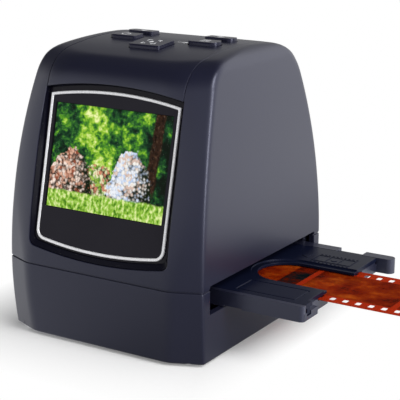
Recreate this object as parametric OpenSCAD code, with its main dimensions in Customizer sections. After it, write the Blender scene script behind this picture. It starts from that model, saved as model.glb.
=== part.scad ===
// Desktop film negative scanner: housing with a leaning screen and five keys,
// optics over a lit film gate, and a film tray that slides through both sides.
// Millimetres. X to the right, Y to the back, Z up. Origin: centre of the underside.

/* [Housing] */
// Half of the width, at the seam between the two shells
half_w = 41.1; // [39:0.1:50]
// From the centre to the end of a side face, at the seam
half_d = 43.3; // [42:0.1:52]
// From the centre to the middle of the front, at the seam
front_d = 47.7; // [46.4:0.1:57]
// From the centre to the middle of the back, at the seam
rear_d = 45.8; // [44.5:0.1:54]
// Height of the housing above its underside
top_z = 103.2; // [97:0.1:122]
// Height of the seam, where the housing is widest
seam_z = 26.1; // [25:0.1:27]
// Radius of the upright bow of the side faces
side_bow_r = 580; // [400:10:800]
// Radius of the upright bow of the back and the cheeks
end_bow_r = 185; // [170:5:260]
// Radius of the bow of the front below the screen
skirt_bow_r = 260; // [200:5:500]
// Angle of the cheeks beside the front and the back
cheek_angle = 22.7; // [15:0.1:30]
// How far the screen face leans back
lean = 12.7; // [8:0.1:15]
// Height where the leaning face starts
lean_z = 31.2; // [29:0.1:34]
// Radius of the crown of the top
crown_r = 163; // [120:1:300]
// Place of the highest point of the crown, behind the centre
crown_y = 3.4; // [0:0.1:6]
// Radius between the screen face and the top
brow_r = 6; // [4:0.5:9]
// Radius between the back and the top
nape_r = 9; // [5:0.5:14]
// Radius between a side face and the top
shoulder_r = 5.5; // [3:0.5:9]
// Bevel of the upright edges beside the side faces
edge_bevel = 0.8; // [0.4:0.1:1.4]
// Wall of both shells
wall = 2.2; // [1.8:0.1:3]
// Height and depth of the shadow groove above the seam
groove = 0.5; // [0.3:0.1:0.8]

/* [Screen] */
// Height of the middle of the screen recess
screen_z = 64.6; // [60:0.1:68]
// Half of the width of the recess, which is also the width of the top panel
recess_half_w = 28.5; // [28:0.1:31]
// From the middle of the recess up to its arched top edge
recess_up = 27.2; // [26:0.1:29]
// From the middle of the recess down to its arched bottom edge
recess_down = 32.6; // [31:0.1:33.5]
// Radius of the arch of the recess's top and bottom edges
arch_r = 146; // [100:1:220]
// Depth of the recess
recess_depth = 1.2; // [0.8:0.1:1.6]
// Thickness of the screen bezel that fills the recess
bezel_t = 1.8; // [1.5:0.1:2.4]
// Bare strip of bezel outside the bright trim, at the sides and the top
trim_inset = 1.4; // [1:0.1:3]
// Width of the bright trim
trim_w = 1.1; // [0.8:0.1:1.6]
// Height of the bright trim above the bezel
trim_h = 0.9; // [0.6:0.1:1.1]
// Radius of the lower corners of the trim
trim_corner_r = 4; // [2:0.5:6]
// Thickness of the screen window
window_t = 0.7; // [0.5:0.1:0.9]
// Width of the picture on the display
picture_w = 49; // [46:0.1:49.6]
// Height of the picture on the display
picture_h = 36.7; // [34:0.1:37.4]
// Height of the middle of the picture above the middle of the recess
picture_up = 1; // [0:0.1:2]

/* [Keys] */
// Height of the keys above the top panel
key_proud = 1.3; // [1:0.1:2.2]
// Travel of a key
key_travel = 0.8; // [0.5:0.1:0.8]
// Width of the middle key
scan_key_w = 13; // [11:0.1:15]
// Depth of the middle key, front to back
scan_key_d = 11; // [9:0.1:12]
// Place of the middle key behind the centre
scan_key_y = -11.8; // [-12.5:0.1:-11]
// Width of the four outer keys
side_key_w = 11.5; // [9:0.1:13]
// Depth of the four outer keys, front to back
side_key_d = 6.6; // [5:0.1:7.2]
// Place of the outer keys to the side of the centre
side_key_x = 17; // [15.5:0.1:18]
// Place of the nearer outer keys behind the centre
near_key_y = -3; // [-3.4:0.1:-1.5]
// Place of the further outer keys behind the centre
far_key_y = 8; // [7.5:0.1:9]
// Bevel of the upper edges of a key
key_bevel = 0.5; // [0.3:0.1:0.7]

/* [Film slot and tray] */
// Half of the width of the slot in each side of the housing
slot_half_w = 38.6; // [37.6:0.1:39.4]
// Height of the lower lip of the slot
slot_z = 17.6; // [17:0.1:18]
// Height of the slot itself
slot_h = 10; // [9:0.1:11]
// Front edge of the tray
tray_front_y = -29.6; // [-30:0.1:-28]
// Back edge of the tray
tray_back_y = 37.8; // [36.5:0.1:37.9]
// Left end of the tray
tray_left_x = -50; // [-54:0.5:-48]
// Right end of the tray's front rail
tray_right_x = 71.5; // [70:0.5:76]
// How far the back rail ends beyond the front rail
back_rail_reach = 4.5; // [2:0.5:6]
// Thickness of the closed tray
tray_t = 5.6; // [5.4:0.1:6]
// Thickness of the film gate
gate_t = 1.6; // [1.4:0.1:1.9]
// Width of the rail along the front of the tray
front_rail_w = 2; // [1.6:0.1:3]
// Width of the rail along the back of the tray
back_rail_w = 4.6; // [4.4:0.1:5]
// Height of the gap for the film
film_gap = 0.9; // [0.7:0.1:1]
// Width of the open mouth between the arms of the gate
mouth_w = 22; // [20:0.5:24]
// Closed end of the mouth
mouth_x = 38; // [36:0.5:42]
// Radius of the hinge pins of the gate
pin_r = 0.8; // [0.6:0.05:0.9]
// Radius of the hinge barrels of the gate
barrel_r = 1.9; // [1.6:0.1:2]
// Length of a hinge barrel
barrel_l = 10; // [6:0.5:12]

/* [Film] */
// Width of the film
film_w = 35; // [34.9:0.1:35.1]
// Thickness of the film
film_t = 0.2; // [0.14:0.02:0.3]
// Distance from one perforation to the next
perforation_pitch = 4.75; // [4.7:0.05:4.8]
// Number of perforations along each edge: eight to a picture
perforations = 32; // [24:8:40]
// Left end of the film
film_left_x = -19; // [-20:0.5:-18]
// Middle of the film and of the optics behind the centre
axis_y = 2.5; // [2:0.1:3]
// Length of a picture on the film
frame_l = 36; // [35:0.5:36.5]
// Width of a picture on the film
frame_w = 24; // [23:0.5:24.5]

/* [Optics and light] */
// Height of the top of the optics column
column_top_z = 72; // [68:0.5:74]
// Height of the shelf that holds the lens
lens_z = 49; // [46:0.5:54]
// Outer radius of the lens barrel
lens_r = 7; // [6:0.1:8]
// Length of the lens barrel
lens_l = 13; // [10:0.5:16]
// Wall of the optics column and of the light box
column_wall = 2; // [1.6:0.1:2.4]
// How far the top of the diffuser lies below the deck
diffuser_drop = 0.8; // [0.3:0.1:3]

/* [Small parts] */
// Thickness of the circuit boards
board_t = 1.6; // [1.2:0.1:1.8]
// Radius of the rubber feet
foot_r = 4.4; // [3.5:0.1:5]
// Height of the feet below the underside
foot_h = 1; // [0.6:0.1:1.4]
// Place of the feet to the side of the centre
foot_x = 29; // [26:0.5:31]
// Place of the feet in front of and behind the centre
foot_y = 34; // [30:0.5:36]
// Shank radius of the housing screws
screw_r = 1.35; // [1.2:0.05:1.5]
// Shank radius of the small screws
small_screw_r = 1; // [0.8:0.05:1.1]
// Bore radius of the television jack
jack_r = 1.8; // [1.75:0.05:1.85]

/* [Hidden] */
$fa = 3;
$fs = 0.4;

// Clearances
seam_gap = 0.2;      // between panels that butt
slide_gap = 0.3;     // under, over and beside what slides
pin_gap = 0.06;      // round a running pin
film_side_gap = 0.2; // beside the film
far = 400;           // beyond the housing on every side
fine = 360;          // steps of the large arcs
skin = 0.01;         // how far a cut runs past the face it opens

// Shape of the housing, in side view (y, z) and in end view (x, z)
function bow_r(phi) = 1 / (sin(phi) / side_bow_r + cos(phi) / end_bow_r);
function reach(phi) = half_w * sin(phi) + half_d * cos(phi);
function heading(v) = atan2(v[1], v[0]);
function toward(a) = [cos(a), sin(a)];
// Where two circles cross, on the left of the way from the first centre to the second
function crossing(c1, r1, c2, r2) =
    let (d = norm(c2 - c1), u = (c2 - c1) / d, a = (r1 * r1 - r2 * r2 + d * d) / (2 * d))
    c1 + a * u + sqrt(r1 * r1 - a * a) * [-u[1], u[0]];

crown_c = [crown_y, top_z - crown_r];
rear_c = [rear_d - end_bow_r, seam_z];
lean_p = [-front_d, lean_z];
lean_n = [-cos(lean), sin(lean)];
lean_t = [sin(lean), cos(lean)];
brow_off = (lean_p - crown_c) * lean_n - brow_r;
brow_c = crown_c + brow_off * lean_n + sqrt(pow(crown_r - brow_r, 2) - brow_off * brow_off) * lean_t;
nape_c = crossing(rear_c, end_bow_r - nape_r, crown_c, crown_r - nape_r);
side_c = [half_w - side_bow_r, seam_z];
shoulder_c = [
    side_c[0] + sqrt(pow(side_bow_r - shoulder_r, 2) - pow(top_z - shoulder_r - seam_z, 2)),
    top_z - shoulder_r
];
function crown_z(y) = crown_c[1] + sqrt(crown_r * crown_r - pow(y - crown_y, 2));
function face_y(z) = z < lean_z ? -front_d : -front_d + (z - lean_z) * tan(lean);
function rear_y(z) = rear_c[0] + sqrt(end_bow_r * end_bow_r - pow(z - seam_z, 2));

// What a rounding circle leaves of a corner between two headings
module corner(c, r, a1, a2) {
    difference() {
        polygon([c, c + 3 * r * toward(a1), c + 4 * r * toward((a1 + a2) / 2), c + 3 * r * toward(a2)]);
        translate(c) circle(r = r, $fn = 96);
    }
}

// Side view of the housing, g inside its surface
module side_view(g) {
    difference() {
        intersection() {
            translate([skirt_bow_r - front_d, seam_z]) circle(r = skirt_bow_r - g, $fn = fine);
            translate(lean_p) rotate(-lean) translate([g, -far]) square([2 * far, 2 * far]);
            translate(rear_c) rotate(180) circle(r = end_bow_r - g, $fn = fine);
            translate(crown_c) circle(r = crown_r - g, $fn = fine);
            translate([-far / 2, g]) square([far, far]);
        }
        corner(brow_c, brow_r - g, heading(lean_n), heading(brow_c - crown_c));
        corner(nape_c, nape_r - g, heading(nape_c - rear_c), heading(nape_c - crown_c));
    }
}

// End view of the housing, g inside its surface and open at the top
module end_view(g) {
    difference() {
        intersection() {
            translate(side_c) rotate(180) circle(r = side_bow_r - g, $fn = fine);
            translate([-side_c[0], seam_z]) circle(r = side_bow_r - g, $fn = fine);
            translate([-far / 2, 0]) square([far, top_z + 1]);
        }
        for (side = [0, 1]) mirror([side, 0])
            corner(shoulder_c, shoulder_r - g, heading(shoulder_c - side_c), 90);
    }
}

// A bowed upright wall whose outward normal is turned phi from the end face
module facet(phi, inset, right, front) {
    turn = (front ? -1 : 1) * (90 - phi);
    rotate(right ? turn : 180 - turn)
        translate([reach(phi) - bow_r(phi), 0, seam_z])
            rotate([90, 0, 180]) cylinder(r = bow_r(phi) - inset, h = far, center = true, $fn = fine);
}

// The housing as one solid, g inside its surface
module form(g, bevels = false) {
    intersection() {
        rotate([90, 0, 90]) linear_extrude(far, center = true) side_view(g);
        rotate([90, 0, 0]) linear_extrude(far, center = true) end_view(g);
        facet(cheek_angle, g, true, true);
        facet(cheek_angle, g, false, true);
        facet(cheek_angle, g, true, false);
        facet(cheek_angle, g, false, false);
        if (bevels) edges();
    }
}

bevel_phi = (90 + cheek_angle) / 2;
module edges() {
    intersection() {
        facet(bevel_phi, edge_bevel, true, true);
        facet(bevel_phi, edge_bevel, false, true);
        facet(bevel_phi, edge_bevel, true, false);
        facet(bevel_phi, edge_bevel, false, false);
    }
}

module above(z) { translate([-far / 2, -far / 2, z]) cube([far, far, far]); }
module below(z) { translate([-far / 2, -far / 2, z - far]) cube([far, far, far]); }
// A box between two corners
module block(low, high) { translate(low) cube(high - low); }
// Puts its children at the four corners of a rectangle about the origin
module at_corners(x, y) { for (sx = [-1, 1], sy = [-1, 1]) translate([sx * x, sy * y, 0]) children(); }
module post(r, z0, z1) { translate([0, 0, z0]) cylinder(r = r, h = z1 - z0); }
// The cross recess of a screw head, from its floor up past the head
module cross_recess(head_r, floor_z, top_z) {
    long = 0.62 * head_r;
    short = 0.13 * head_r;
    block([-long, -short, floor_z], [long, short, top_z]);
    block([-short, -long, floor_z], [short, long, top_z]);
}
// A screw from its tip up to its head
module screw(r, head_r, head_h, tip_z, seat_z) {
    difference() {
        union() {
            post(r, tip_z, seat_z + skin);
            post(head_r, seat_z, seat_z + head_h);
        }
        cross_recess(head_r, seat_z + head_h / 3, seat_z + head_h + 1);
    }
}

// Film path: heights and widths of the tray, the gate, the deck and the light path
tray_z = slot_z + slide_gap;
tray_top_z = tray_z + tray_t;
gate_z = tray_top_z - gate_t;
bed_z = gate_z - film_gap;
film_z = bed_z + (film_gap - film_t) / 2;
deck_half_l = 30;
deck_top_z = slot_z;
deck_t = 2.1;
deck_z = deck_top_z - deck_t;
deck_front_wall = 3.5;
deck_back_wall = 2.6;
deck_front_y = tray_front_y - slide_gap - deck_front_wall;
deck_back_y = tray_back_y + slide_gap + deck_back_wall;
deck_wall_z = slot_z + slot_h + 0.4;
light_w = frame_l + 4;
light_d = frame_w + 4;
deck_post_r = 3;
deck_post_x = 25;
deck_post_front_y = -26;
deck_post_back_y = 34;
case_post_r = 3;
case_post_x = half_w - 6.5;
case_post_y = half_d - 2.3;
case_post_top_z = seam_z + 18;
head_r = 2.4;
head_h = 1.2;
head_seat_z = 1.6;

module slot_cut() {
    block([-far / 2, -slot_half_w, slot_z], [far / 2, slot_half_w, slot_z + slot_h]);
}

module case_posts(z0, z1) { at_corners(case_post_x, case_post_y) post(case_post_r, z0, z1); }

// ---- Housing ----

module lower_housing() {
    color([0.13, 0.13, 0.17]) difference() {
        intersection() {
            form(0, true);
            below(seam_z);
        }
        difference() {
            form(wall);
            case_posts(-1, seam_z + 1);
            for (sx = [-1, 1], y = [deck_post_front_y, deck_post_back_y])
                translate([sx * deck_post_x, y, 0]) post(deck_post_r, -1, deck_z);
        }
        slot_cut();
        at_corners(foot_x, foot_y) post(foot_r + seam_gap, -skin, foot_h);
        at_corners(case_post_x, case_post_y) {
            post(head_r + slide_gap, -skin, head_seat_z);
            post(screw_r + seam_gap, -skin, seam_z + 1);
        }
        for (sx = [-1, 1], y = [deck_post_front_y, deck_post_back_y])
            translate([sx * deck_post_x, y, 0]) post(small_screw_r, deck_z - 8, deck_z + 1);
    }
}

// Openings of the sockets in the back
usb_x = 11;
jack_x = 22;
io_z = deck_wall_z + 2 + 1.5;
usb_w = 7.7;
usb_h = 3.9;
usb_mid_z = io_z + board_t + usb_h / 2;
jack_nose_r = 3;
jack_mid_z = io_z + board_t + jack_nose_r + 0.2;
main_x = -31;
card_t = 3;
card_h = 26;
card_z = 36;
card_x = main_x + board_t;

module socket_cuts() {
    block([usb_x - usb_w / 2 - seam_gap, rear_d - 8, usb_mid_z - usb_h / 2 - seam_gap],
          [usb_x + usb_w / 2 + seam_gap, rear_d + 5, usb_mid_z + usb_h / 2 + seam_gap]);
    translate([jack_x, rear_d - 8, jack_mid_z])
        rotate([-90, 0, 0]) cylinder(r = jack_nose_r + seam_gap, h = 12);
    block([card_x - seam_gap, rear_d - 10, card_z - seam_gap],
          [card_x + card_t + seam_gap, rear_d + 5, card_z + card_h + seam_gap]);
}

// Outline of the screen recess, in the plane of the leaning face, g inside its edge
module recess_outline(g) {
    r = 2.5;
    up_c = [0, recess_up - arch_r];
    down_c = [0, arch_r - recess_down];
    x = recess_half_w - r;
    low_c = [x, down_c[1] - sqrt(pow(arch_r - r, 2) - x * x)];
    difference() {
        intersection() {
            translate(up_c) circle(r = arch_r - g, $fn = fine);
            translate(down_c) circle(r = arch_r - g, $fn = fine);
            square([2 * (recess_half_w - g), far], center = true);
        }
        for (side = [0, 1]) mirror([side, 0])
            corner(low_c, r - g, heading(low_c - down_c), 0);
    }
}

// Outline inside the bright trim, g inside its outer edge
module trim_outline(g) {
    r = trim_corner_r;
    half = recess_half_w - trim_inset;
    up_c = [0, recess_up - 1.5 * trim_inset - arch_r];
    down_c = [0, arch_r - recess_down + 0.7 * trim_inset];
    x = half - r;
    low_c = [x, down_c[1] - sqrt(pow(arch_r - r, 2) - x * x)];
    difference() {
        intersection() {
            translate(up_c) circle(r = arch_r - g, $fn = fine);
            translate(down_c) circle(r = arch_r - g, $fn = fine);
            square([2 * (half - g), far], center = true);
        }
        for (side = [0, 1]) mirror([side, 0])
            corner(low_c, r - g, heading(low_c - down_c), 0);
    }
}

// Puts its children on the leaning face: X across, Y up the face, Z out of it
module on_face() { translate([0, face_y(screen_z), screen_z]) rotate([90 - lean, 0, 0]) children(); }

panel_back_y = 19;
key_board_top_z = top_z - 9.7;

// The strip over the brow and the top that the top panel fills, g inside its edge
module panel_zone(g) {
    foot_p = [face_y(screen_z), screen_z];
    deep = wall + 1;
    rise = (key_board_top_z - screen_z + deep * lean_n[1]) / lean_t[1];
    rotate([90, 0, 90]) linear_extrude(2 * (recess_half_w - g), center = true) polygon([
        foot_p - deep * lean_n,
        foot_p + 12 * lean_n,
        foot_p + 12 * lean_n + 60 * lean_t,
        [panel_back_y - g, top_z + 5],
        [panel_back_y - g, key_board_top_z],
        foot_p - deep * lean_n + rise * lean_t
    ]);
}

// The part of the recess below that strip
module recess_cut() {
    on_face() translate([0, 0, -wall - 1]) linear_extrude(far / 4) intersection() {
        recess_outline(0);
        translate([-far / 2, 5 - far]) square([far, far]);
    }
}

module upper_housing() {
    color([0.14, 0.14, 0.18]) difference() {
        intersection() {
            form(0, true);
            above(seam_z);
        }
        difference() {
            form(wall);
            case_posts(seam_z - 1, case_post_top_z);
        }
        difference() {
            intersection() {
                above(seam_z - 1);
                below(seam_z + groove);
            }
            form(groove);
        }
        panel_zone(0);
        recess_cut();
        slot_cut();
        at_corners(case_post_x, case_post_y) post(screw_r, seam_z - 1, case_post_top_z - 2);
        socket_cuts();
    }
}

// ---- Top panel and keys ----

// Each key: middle x, middle y, width, depth, and the side that is round
KEYS = [
    [0, scan_key_y, scan_key_w, scan_key_d, 0],
    [-side_key_x, near_key_y, side_key_w, side_key_d, -1],
    [side_key_x, near_key_y, side_key_w, side_key_d, 1],
    [-side_key_x, far_key_y, side_key_w, side_key_d - 0.6, -1],
    [side_key_x, far_key_y, side_key_w, side_key_d - 0.6, 1]
];
switch_h = 3;
stem_z = key_board_top_z + switch_h + key_travel + 0.4;
key_board_half_w = 29.5;
key_board_front_y = -24;
key_board_back_y = 15;
key_post_x = 25.5;
key_post_r = 2;

// Plan of a key, g outside its edge: the outer end of a side key is rounder
module key_plan(k, g) {
    r = 1.2;
    end_r = k[4] == 0 ? r : k[3] / 2 - 0.4;
    translate([k[0], k[1]]) offset(delta = g) hull() {
        for (sy = [-1, 1]) {
            inner = k[4] == 0 ? -1 : -k[4];
            translate([inner * (k[2] / 2 - r), sy * (k[3] / 2 - r)]) circle(r = r, $fn = 24);
            translate([-inner * (k[2] / 2 - end_r), sy * (k[3] / 2 - end_r)]) circle(r = end_r, $fn = 32);
        }
    }
}

// A key: bevelled cap, the flange that keeps it in, and its stem
module key(k) {
    front = k[1] - k[3] / 2;
    back = k[1] + k[3] / 2;
    flange_top = min(crown_z(front), crown_z(back)) - wall - slide_gap - 0.1;
    flange_t = 1;
    color([0.10, 0.10, 0.13]) union() {
        intersection() {
            linear_extrude(far) key_plan(k, 0);
            rotate([90, 0, 90]) linear_extrude(far, center = true) polygon([
                [front, flange_top - flange_t],
                [front, crown_z(front) + key_proud - key_bevel],
                [front + key_bevel, crown_z(front + key_bevel) + key_proud],
                [back - key_bevel, crown_z(back - key_bevel) + key_proud],
                [back, crown_z(back) + key_proud - key_bevel],
                [back, flange_top - flange_t]
            ]);
        }
        translate([0, 0, flange_top - flange_t]) linear_extrude(flange_t) key_plan(k, 0.8);
        translate([k[0], k[1], 0]) post(1.6, stem_z, flange_top);
    }
}

module scan_key() { key(KEYS[0]); }
module power_key() { key(KEYS[1]); }
module mode_key() { key(KEYS[2]); }
module back_key() { key(KEYS[3]); }
module next_key() { key(KEYS[4]); }

module key_posts(r, z0, z1) {
    for (sx = [-1, 1], y = [key_board_front_y + 3, key_board_back_y - 3])
        translate([sx * key_post_x, y, 0]) post(r, z0, z1);
}

module top_panel() {
    color([0.13, 0.13, 0.17]) difference() {
        intersection() {
            form(0);
            panel_zone(seam_gap);
        }
        difference() {
            form(wall);
            key_posts(key_post_r, key_board_top_z, top_z);
        }
        on_face() translate([0, 0, -wall - 2]) linear_extrude(far / 4) recess_outline(-seam_gap);
        for (k = KEYS) linear_extrude(far) key_plan(k, slide_gap - 0.05);
        key_posts(small_screw_r, key_board_top_z - 1, key_board_top_z + 5);
    }
}

module key_board() {
    color([0.05, 0.30, 0.16]) difference() {
        block([-key_board_half_w, key_board_front_y, key_board_top_z - board_t],
              [key_board_half_w, key_board_back_y, key_board_top_z]);
        key_posts(small_screw_r, key_board_top_z - board_t - 1, key_board_top_z + 1);
    }
}

module key_switches() {
    for (k = KEYS) translate([k[0], k[1], key_board_top_z]) {
        color([0.6, 0.6, 0.6]) translate([-3, -3, 0]) cube([6, 6, switch_h - 0.2]);
        color([0.1, 0.1, 0.1]) post(1.7, switch_h - 0.2 - skin, switch_h + 0.1);
    }
}

// ---- Screen ----

lcd_t = 1.7;
lcd_z = -recess_depth - 0.05 - lcd_t;
backlight_t = 2.2;
backlight_w = 59;
backlight_h = 43.5;
backlight_z = -recess_depth - bezel_t - 0.1 - backlight_t;
display_board_z = backlight_z - 2.7 - board_t;
display_posts = [[-22, -26.6], [22, -26.6], [0, 24.9]];

module display_post_each(r, z0, z1) {
    for (p = display_posts) translate([p[0], p[1], 0]) post(r, z0, z1);
}

module screen_bezel() {
    color([0.03, 0.03, 0.04]) on_face() difference() {
        union() {
            translate([0, 0, -recess_depth - bezel_t]) linear_extrude(bezel_t) recess_outline(seam_gap);
            display_post_each(1.6, display_board_z + board_t, -recess_depth - bezel_t + skin);
        }
        translate([0, picture_up, -recess_depth - bezel_t / 2])
            cube([picture_w + 2, picture_h + 2, 2 * bezel_t], center = true);
        display_post_each(small_screw_r, display_board_z, display_board_z + board_t + 2.5);
    }
}

module bezel_trim() {
    color([0.85, 0.85, 0.87]) on_face() translate([0, 0, -recess_depth]) linear_extrude(trim_h)
        difference() {
            trim_outline(0);
            trim_outline(trim_w);
        }
}

module screen_window() {
    color([0.02, 0.02, 0.03, 0.5]) on_face() translate([0, 0, -recess_depth])
        linear_extrude(window_t) trim_outline(trim_w + 0.05);
}

module lcd_panel() {
    color([0.35, 0.55, 0.25]) on_face() translate([0, picture_up, lcd_z + lcd_t / 2])
        cube([picture_w + 1.6, picture_h + 1.6, lcd_t], center = true);
}

module lcd_backlight() {
    color([0.75, 0.76, 0.78]) on_face() translate([0, picture_up, backlight_z + backlight_t / 2])
        cube([backlight_w, backlight_h, backlight_t], center = true);
}

module lcd_flex() {
    low = picture_up - backlight_h / 2;
    t = 0.3;
    top = backlight_z + 1.2;
    back = display_board_z + board_t;
    color([0.70, 0.42, 0.12]) on_face() rotate([90, 0, 90]) linear_extrude(24, center = true)
        polygon([
            [low, top], [low - 3, top], [low - 3, back], [low + 4, back],
            [low + 4, back + t], [low - 3 + t, back + t], [low - 3 + t, top - t], [low, top - t]
        ]);
}

module display_board() {
    color([0.05, 0.30, 0.16]) on_face() difference() {
        block([-30, -30, display_board_z], [30, 27, display_board_z + board_t]);
        display_post_each(small_screw_r, display_board_z - 1, display_board_z + board_t + 1);
    }
}

// ---- Boards and sockets ----

main_front_y = 2;
main_back_y = 36;
main_z = deck_wall_z + 2.1;
main_top_z = 70;
bracket_t = 1.6;
main_screws = [[7, main_z + 3], [7, main_z + 8]];

module main_screw_each(r, x0, x1) {
    for (p = main_screws) translate([x0, p[0], p[1]]) rotate([0, 90, 0]) cylinder(r = r, h = x1 - x0);
}

module main_board() {
    color([0.05, 0.30, 0.16]) difference() {
        block([main_x, main_front_y, main_z], [card_x, main_back_y, main_top_z]);
        main_screw_each(small_screw_r, main_x - 1, card_x + 1);
    }
}

module card_socket() {
    mouth_y = rear_y(card_z + card_h) - 0.4;
    color([0.75, 0.76, 0.78]) difference() {
        block([card_x, mouth_y - 28, card_z], [card_x + card_t, mouth_y, card_z + card_h]);
        block([card_x + 0.4, mouth_y - 24, card_z + 0.8],
              [card_x + card_t - 0.4, mouth_y + 1, card_z + card_h - 0.8]);
    }
}

// Flat ribbons lie on the main board and run to the display board and the key board
function display_back_y(z) = face_y(z) - display_board_z / cos(lean) + 0.1;

module display_ribbon() {
    color([0.8, 0.8, 0.78]) translate([card_x, 0, 0]) rotate([90, 0, 90]) linear_extrude(0.3) polygon([
        [display_back_y(44), 44], [display_back_y(54), 54], [main_front_y + 5, 54], [main_front_y + 5, 44]
    ]);
}

module key_ribbon() {
    color([0.8, 0.8, 0.78])
        block([card_x, 6, main_top_z - 7], [card_x + 0.3, 15, key_board_top_z - board_t]);
}

io_front_y = 22;
io_back_y = 40.5;
io_left_x = 3;
io_right_x = 30;
io_posts = [[6, 25], [27, 25]];

module io_post_each(r, z0, z1) {
    for (p = io_posts) translate([p[0], p[1], 0]) post(r, z0, z1);
}

module io_board() {
    color([0.05, 0.30, 0.16]) difference() {
        block([io_left_x, io_front_y, io_z], [io_right_x, io_back_y, io_z + board_t]);
        io_post_each(small_screw_r, io_z - 1, io_z + board_t + 1);
    }
}

module usb_socket() {
    mouth_y = rear_y(usb_mid_z) - 0.6;
    color([0.75, 0.76, 0.78]) translate([usb_x, mouth_y, usb_mid_z]) {
        difference() {
            block([-usb_w / 2, -9, -usb_h / 2], [usb_w / 2, 0, usb_h / 2]);
            block([-usb_w / 2 + 0.4, -7, -usb_h / 2 + 0.4], [usb_w / 2 - 0.4, 1, usb_h / 2 - 0.4]);
        }
        block([-2.4, -7 - skin, -0.5], [2.4, -1, 0.5]);
    }
}

jack_l = 12;
module av_jack() {
    mouth_y = rear_y(jack_mid_z) - 0.2;
    color([0.05, 0.05, 0.05]) translate([jack_x, mouth_y, jack_mid_z]) rotate([90, 0, 0]) difference() {
        union() {
            cylinder(r = jack_nose_r, h = 6);
            translate([-3.4, -3.2, 4]) cube([6.8, 6.4, jack_l - 4]);
        }
        translate([0, 0, -1]) cylinder(r = jack_r, h = jack_l);
    }
}

// ---- Optics ----

column_half_w = light_w / 2 + column_wall;
column_half_d = light_d / 2 + column_wall;
flange_top_z = deck_wall_z + 2;
optics_screw_x = 26;
deck_wall_mids = [deck_front_y + deck_front_wall / 2, deck_back_y - deck_back_wall / 2];

module optics_screw_each() {
    for (sx = [-1, 1], y = deck_wall_mids) translate([sx * optics_screw_x, y, 0]) children();
}

module optics_frame() {
    color([0.07, 0.07, 0.08]) difference() {
        union() {
            block([-deck_half_l, deck_front_y, deck_wall_z], [deck_half_l, deck_back_y, flange_top_z]);
            translate([0, axis_y, 0])
                block([-column_half_w, -column_half_d, deck_wall_z],
                      [column_half_w, column_half_d, column_top_z]);
            block([card_x, 3, flange_top_z - skin], [card_x + bracket_t, 11, flange_top_z + 11]);
            io_post_each(2.2, flange_top_z - skin, io_z);
        }
        translate([0, axis_y, 0]) {
            block([-light_w / 2, -light_d / 2, deck_wall_z - 1], [light_w / 2, light_d / 2, lens_z]);
            block([-light_w / 2, -light_d / 2, lens_z + 2], [light_w / 2, light_d / 2, column_top_z + 1]);
            post(lens_r, lens_z - 1, lens_z + 3);
        }
        optics_screw_each() post(small_screw_r + 0.1, deck_wall_z - 1, flange_top_z + 1);
        main_screw_each(small_screw_r, card_x - 1, card_x + bracket_t + 1);
        io_post_each(small_screw_r, flange_top_z + skin, io_z + 1);
    }
}

barrel_bore_r = lens_r - 1.3;
barrel_z = lens_z - 4;

module lens_barrel() {
    color([0.05, 0.05, 0.05]) translate([0, axis_y, 0]) difference() {
        union() {
            post(lens_r, barrel_z, barrel_z + lens_l);
            post(lens_r + 1.2, lens_z + 2, lens_z + 3.2);
        }
        post(barrel_bore_r, barrel_z - 1, barrel_z + lens_l + 1);
    }
}

// Two glasses: a disc with one domed face each
module lens_glasses() {
    dome_r = 14;
    thick = 2.2;
    color([0.8, 0.9, 0.95, 0.4]) translate([0, axis_y, 0]) for (end = [0, 1])
        translate([0, 0, barrel_z + (end == 0 ? thick : lens_l - thick)]) mirror([0, 0, 1 - end])
            intersection() {
                post(barrel_bore_r, 0, thick);
                translate([0, 0, thick - dome_r]) sphere(r = dome_r, $fn = 96);
            }
}

module aperture_ring() {
    color([0.08, 0.08, 0.08]) translate([0, axis_y, 0]) difference() {
        post(barrel_bore_r, barrel_z + lens_l / 2 - 0.4, barrel_z + lens_l / 2 + 0.4);
        post(2, barrel_z, barrel_z + lens_l);
    }
}

sensor_screw_x = column_half_w - 1;
module sensor_board() {
    color([0.05, 0.30, 0.16]) translate([0, axis_y, column_top_z])
        block([-column_half_w, -column_half_d, 0], [column_half_w, column_half_d, board_t]);
}

module image_sensor() {
    color([0.25, 0.25, 0.3]) translate([0, axis_y, column_top_z - 1.5])
        block([-6, -5, 0], [6, 5, 1.5]);
}

// ---- Film deck and light ----

module film_deck() {
    spring_half_l = 13;
    color([0.09, 0.09, 0.11]) difference() {
        union() {
            block([-deck_half_l, deck_front_y, deck_z], [deck_half_l, deck_back_y, deck_top_z]);
            block([-deck_half_l, deck_front_y, deck_z],
                  [deck_half_l, deck_front_y + deck_front_wall, deck_wall_z]);
            block([-deck_half_l, deck_back_y - deck_back_wall, deck_z],
                  [deck_half_l, deck_back_y, deck_wall_z]);
        }
        translate([0, axis_y, 0])
            block([-light_w / 2, -light_d / 2, deck_z - 1], [light_w / 2, light_d / 2, deck_top_z + 1]);
        block([-spring_half_l, deck_front_y + deck_front_wall - spring_sag, deck_top_z + 0.5],
              [spring_half_l, deck_front_y + deck_front_wall + 1, deck_top_z + 5]);
        for (sx = [-1, 1], y = [deck_post_front_y, deck_post_back_y])
            translate([sx * deck_post_x, y, 0]) {
                post(small_screw_r + 0.1, deck_z - 1, deck_top_z + 1);
                post(deck_head_r + 0.1, deck_top_z - 1.2, deck_top_z + 1);
            }
        optics_screw_each() post(small_screw_r, deck_wall_z - 8, deck_wall_z + 1);
    }
}

// A bowed leaf spring in a pocket of the deck's front wall
spring_sag = 1.5;
spring_r = 55;
spring_t = 0.25;
module detent_spring() {
    color([0.75, 0.75, 0.72])
        translate([0, deck_front_y + deck_front_wall + 0.05 - spring_r, deck_top_z + 0.8]) linear_extrude(3.6)
            intersection() {
                difference() {
                    circle(r = spring_r, $fn = fine);
                    circle(r = spring_r - spring_t, $fn = fine);
                }
                translate([-12, 0]) square([24, 2 * spring_r]);
            }
}

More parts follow.
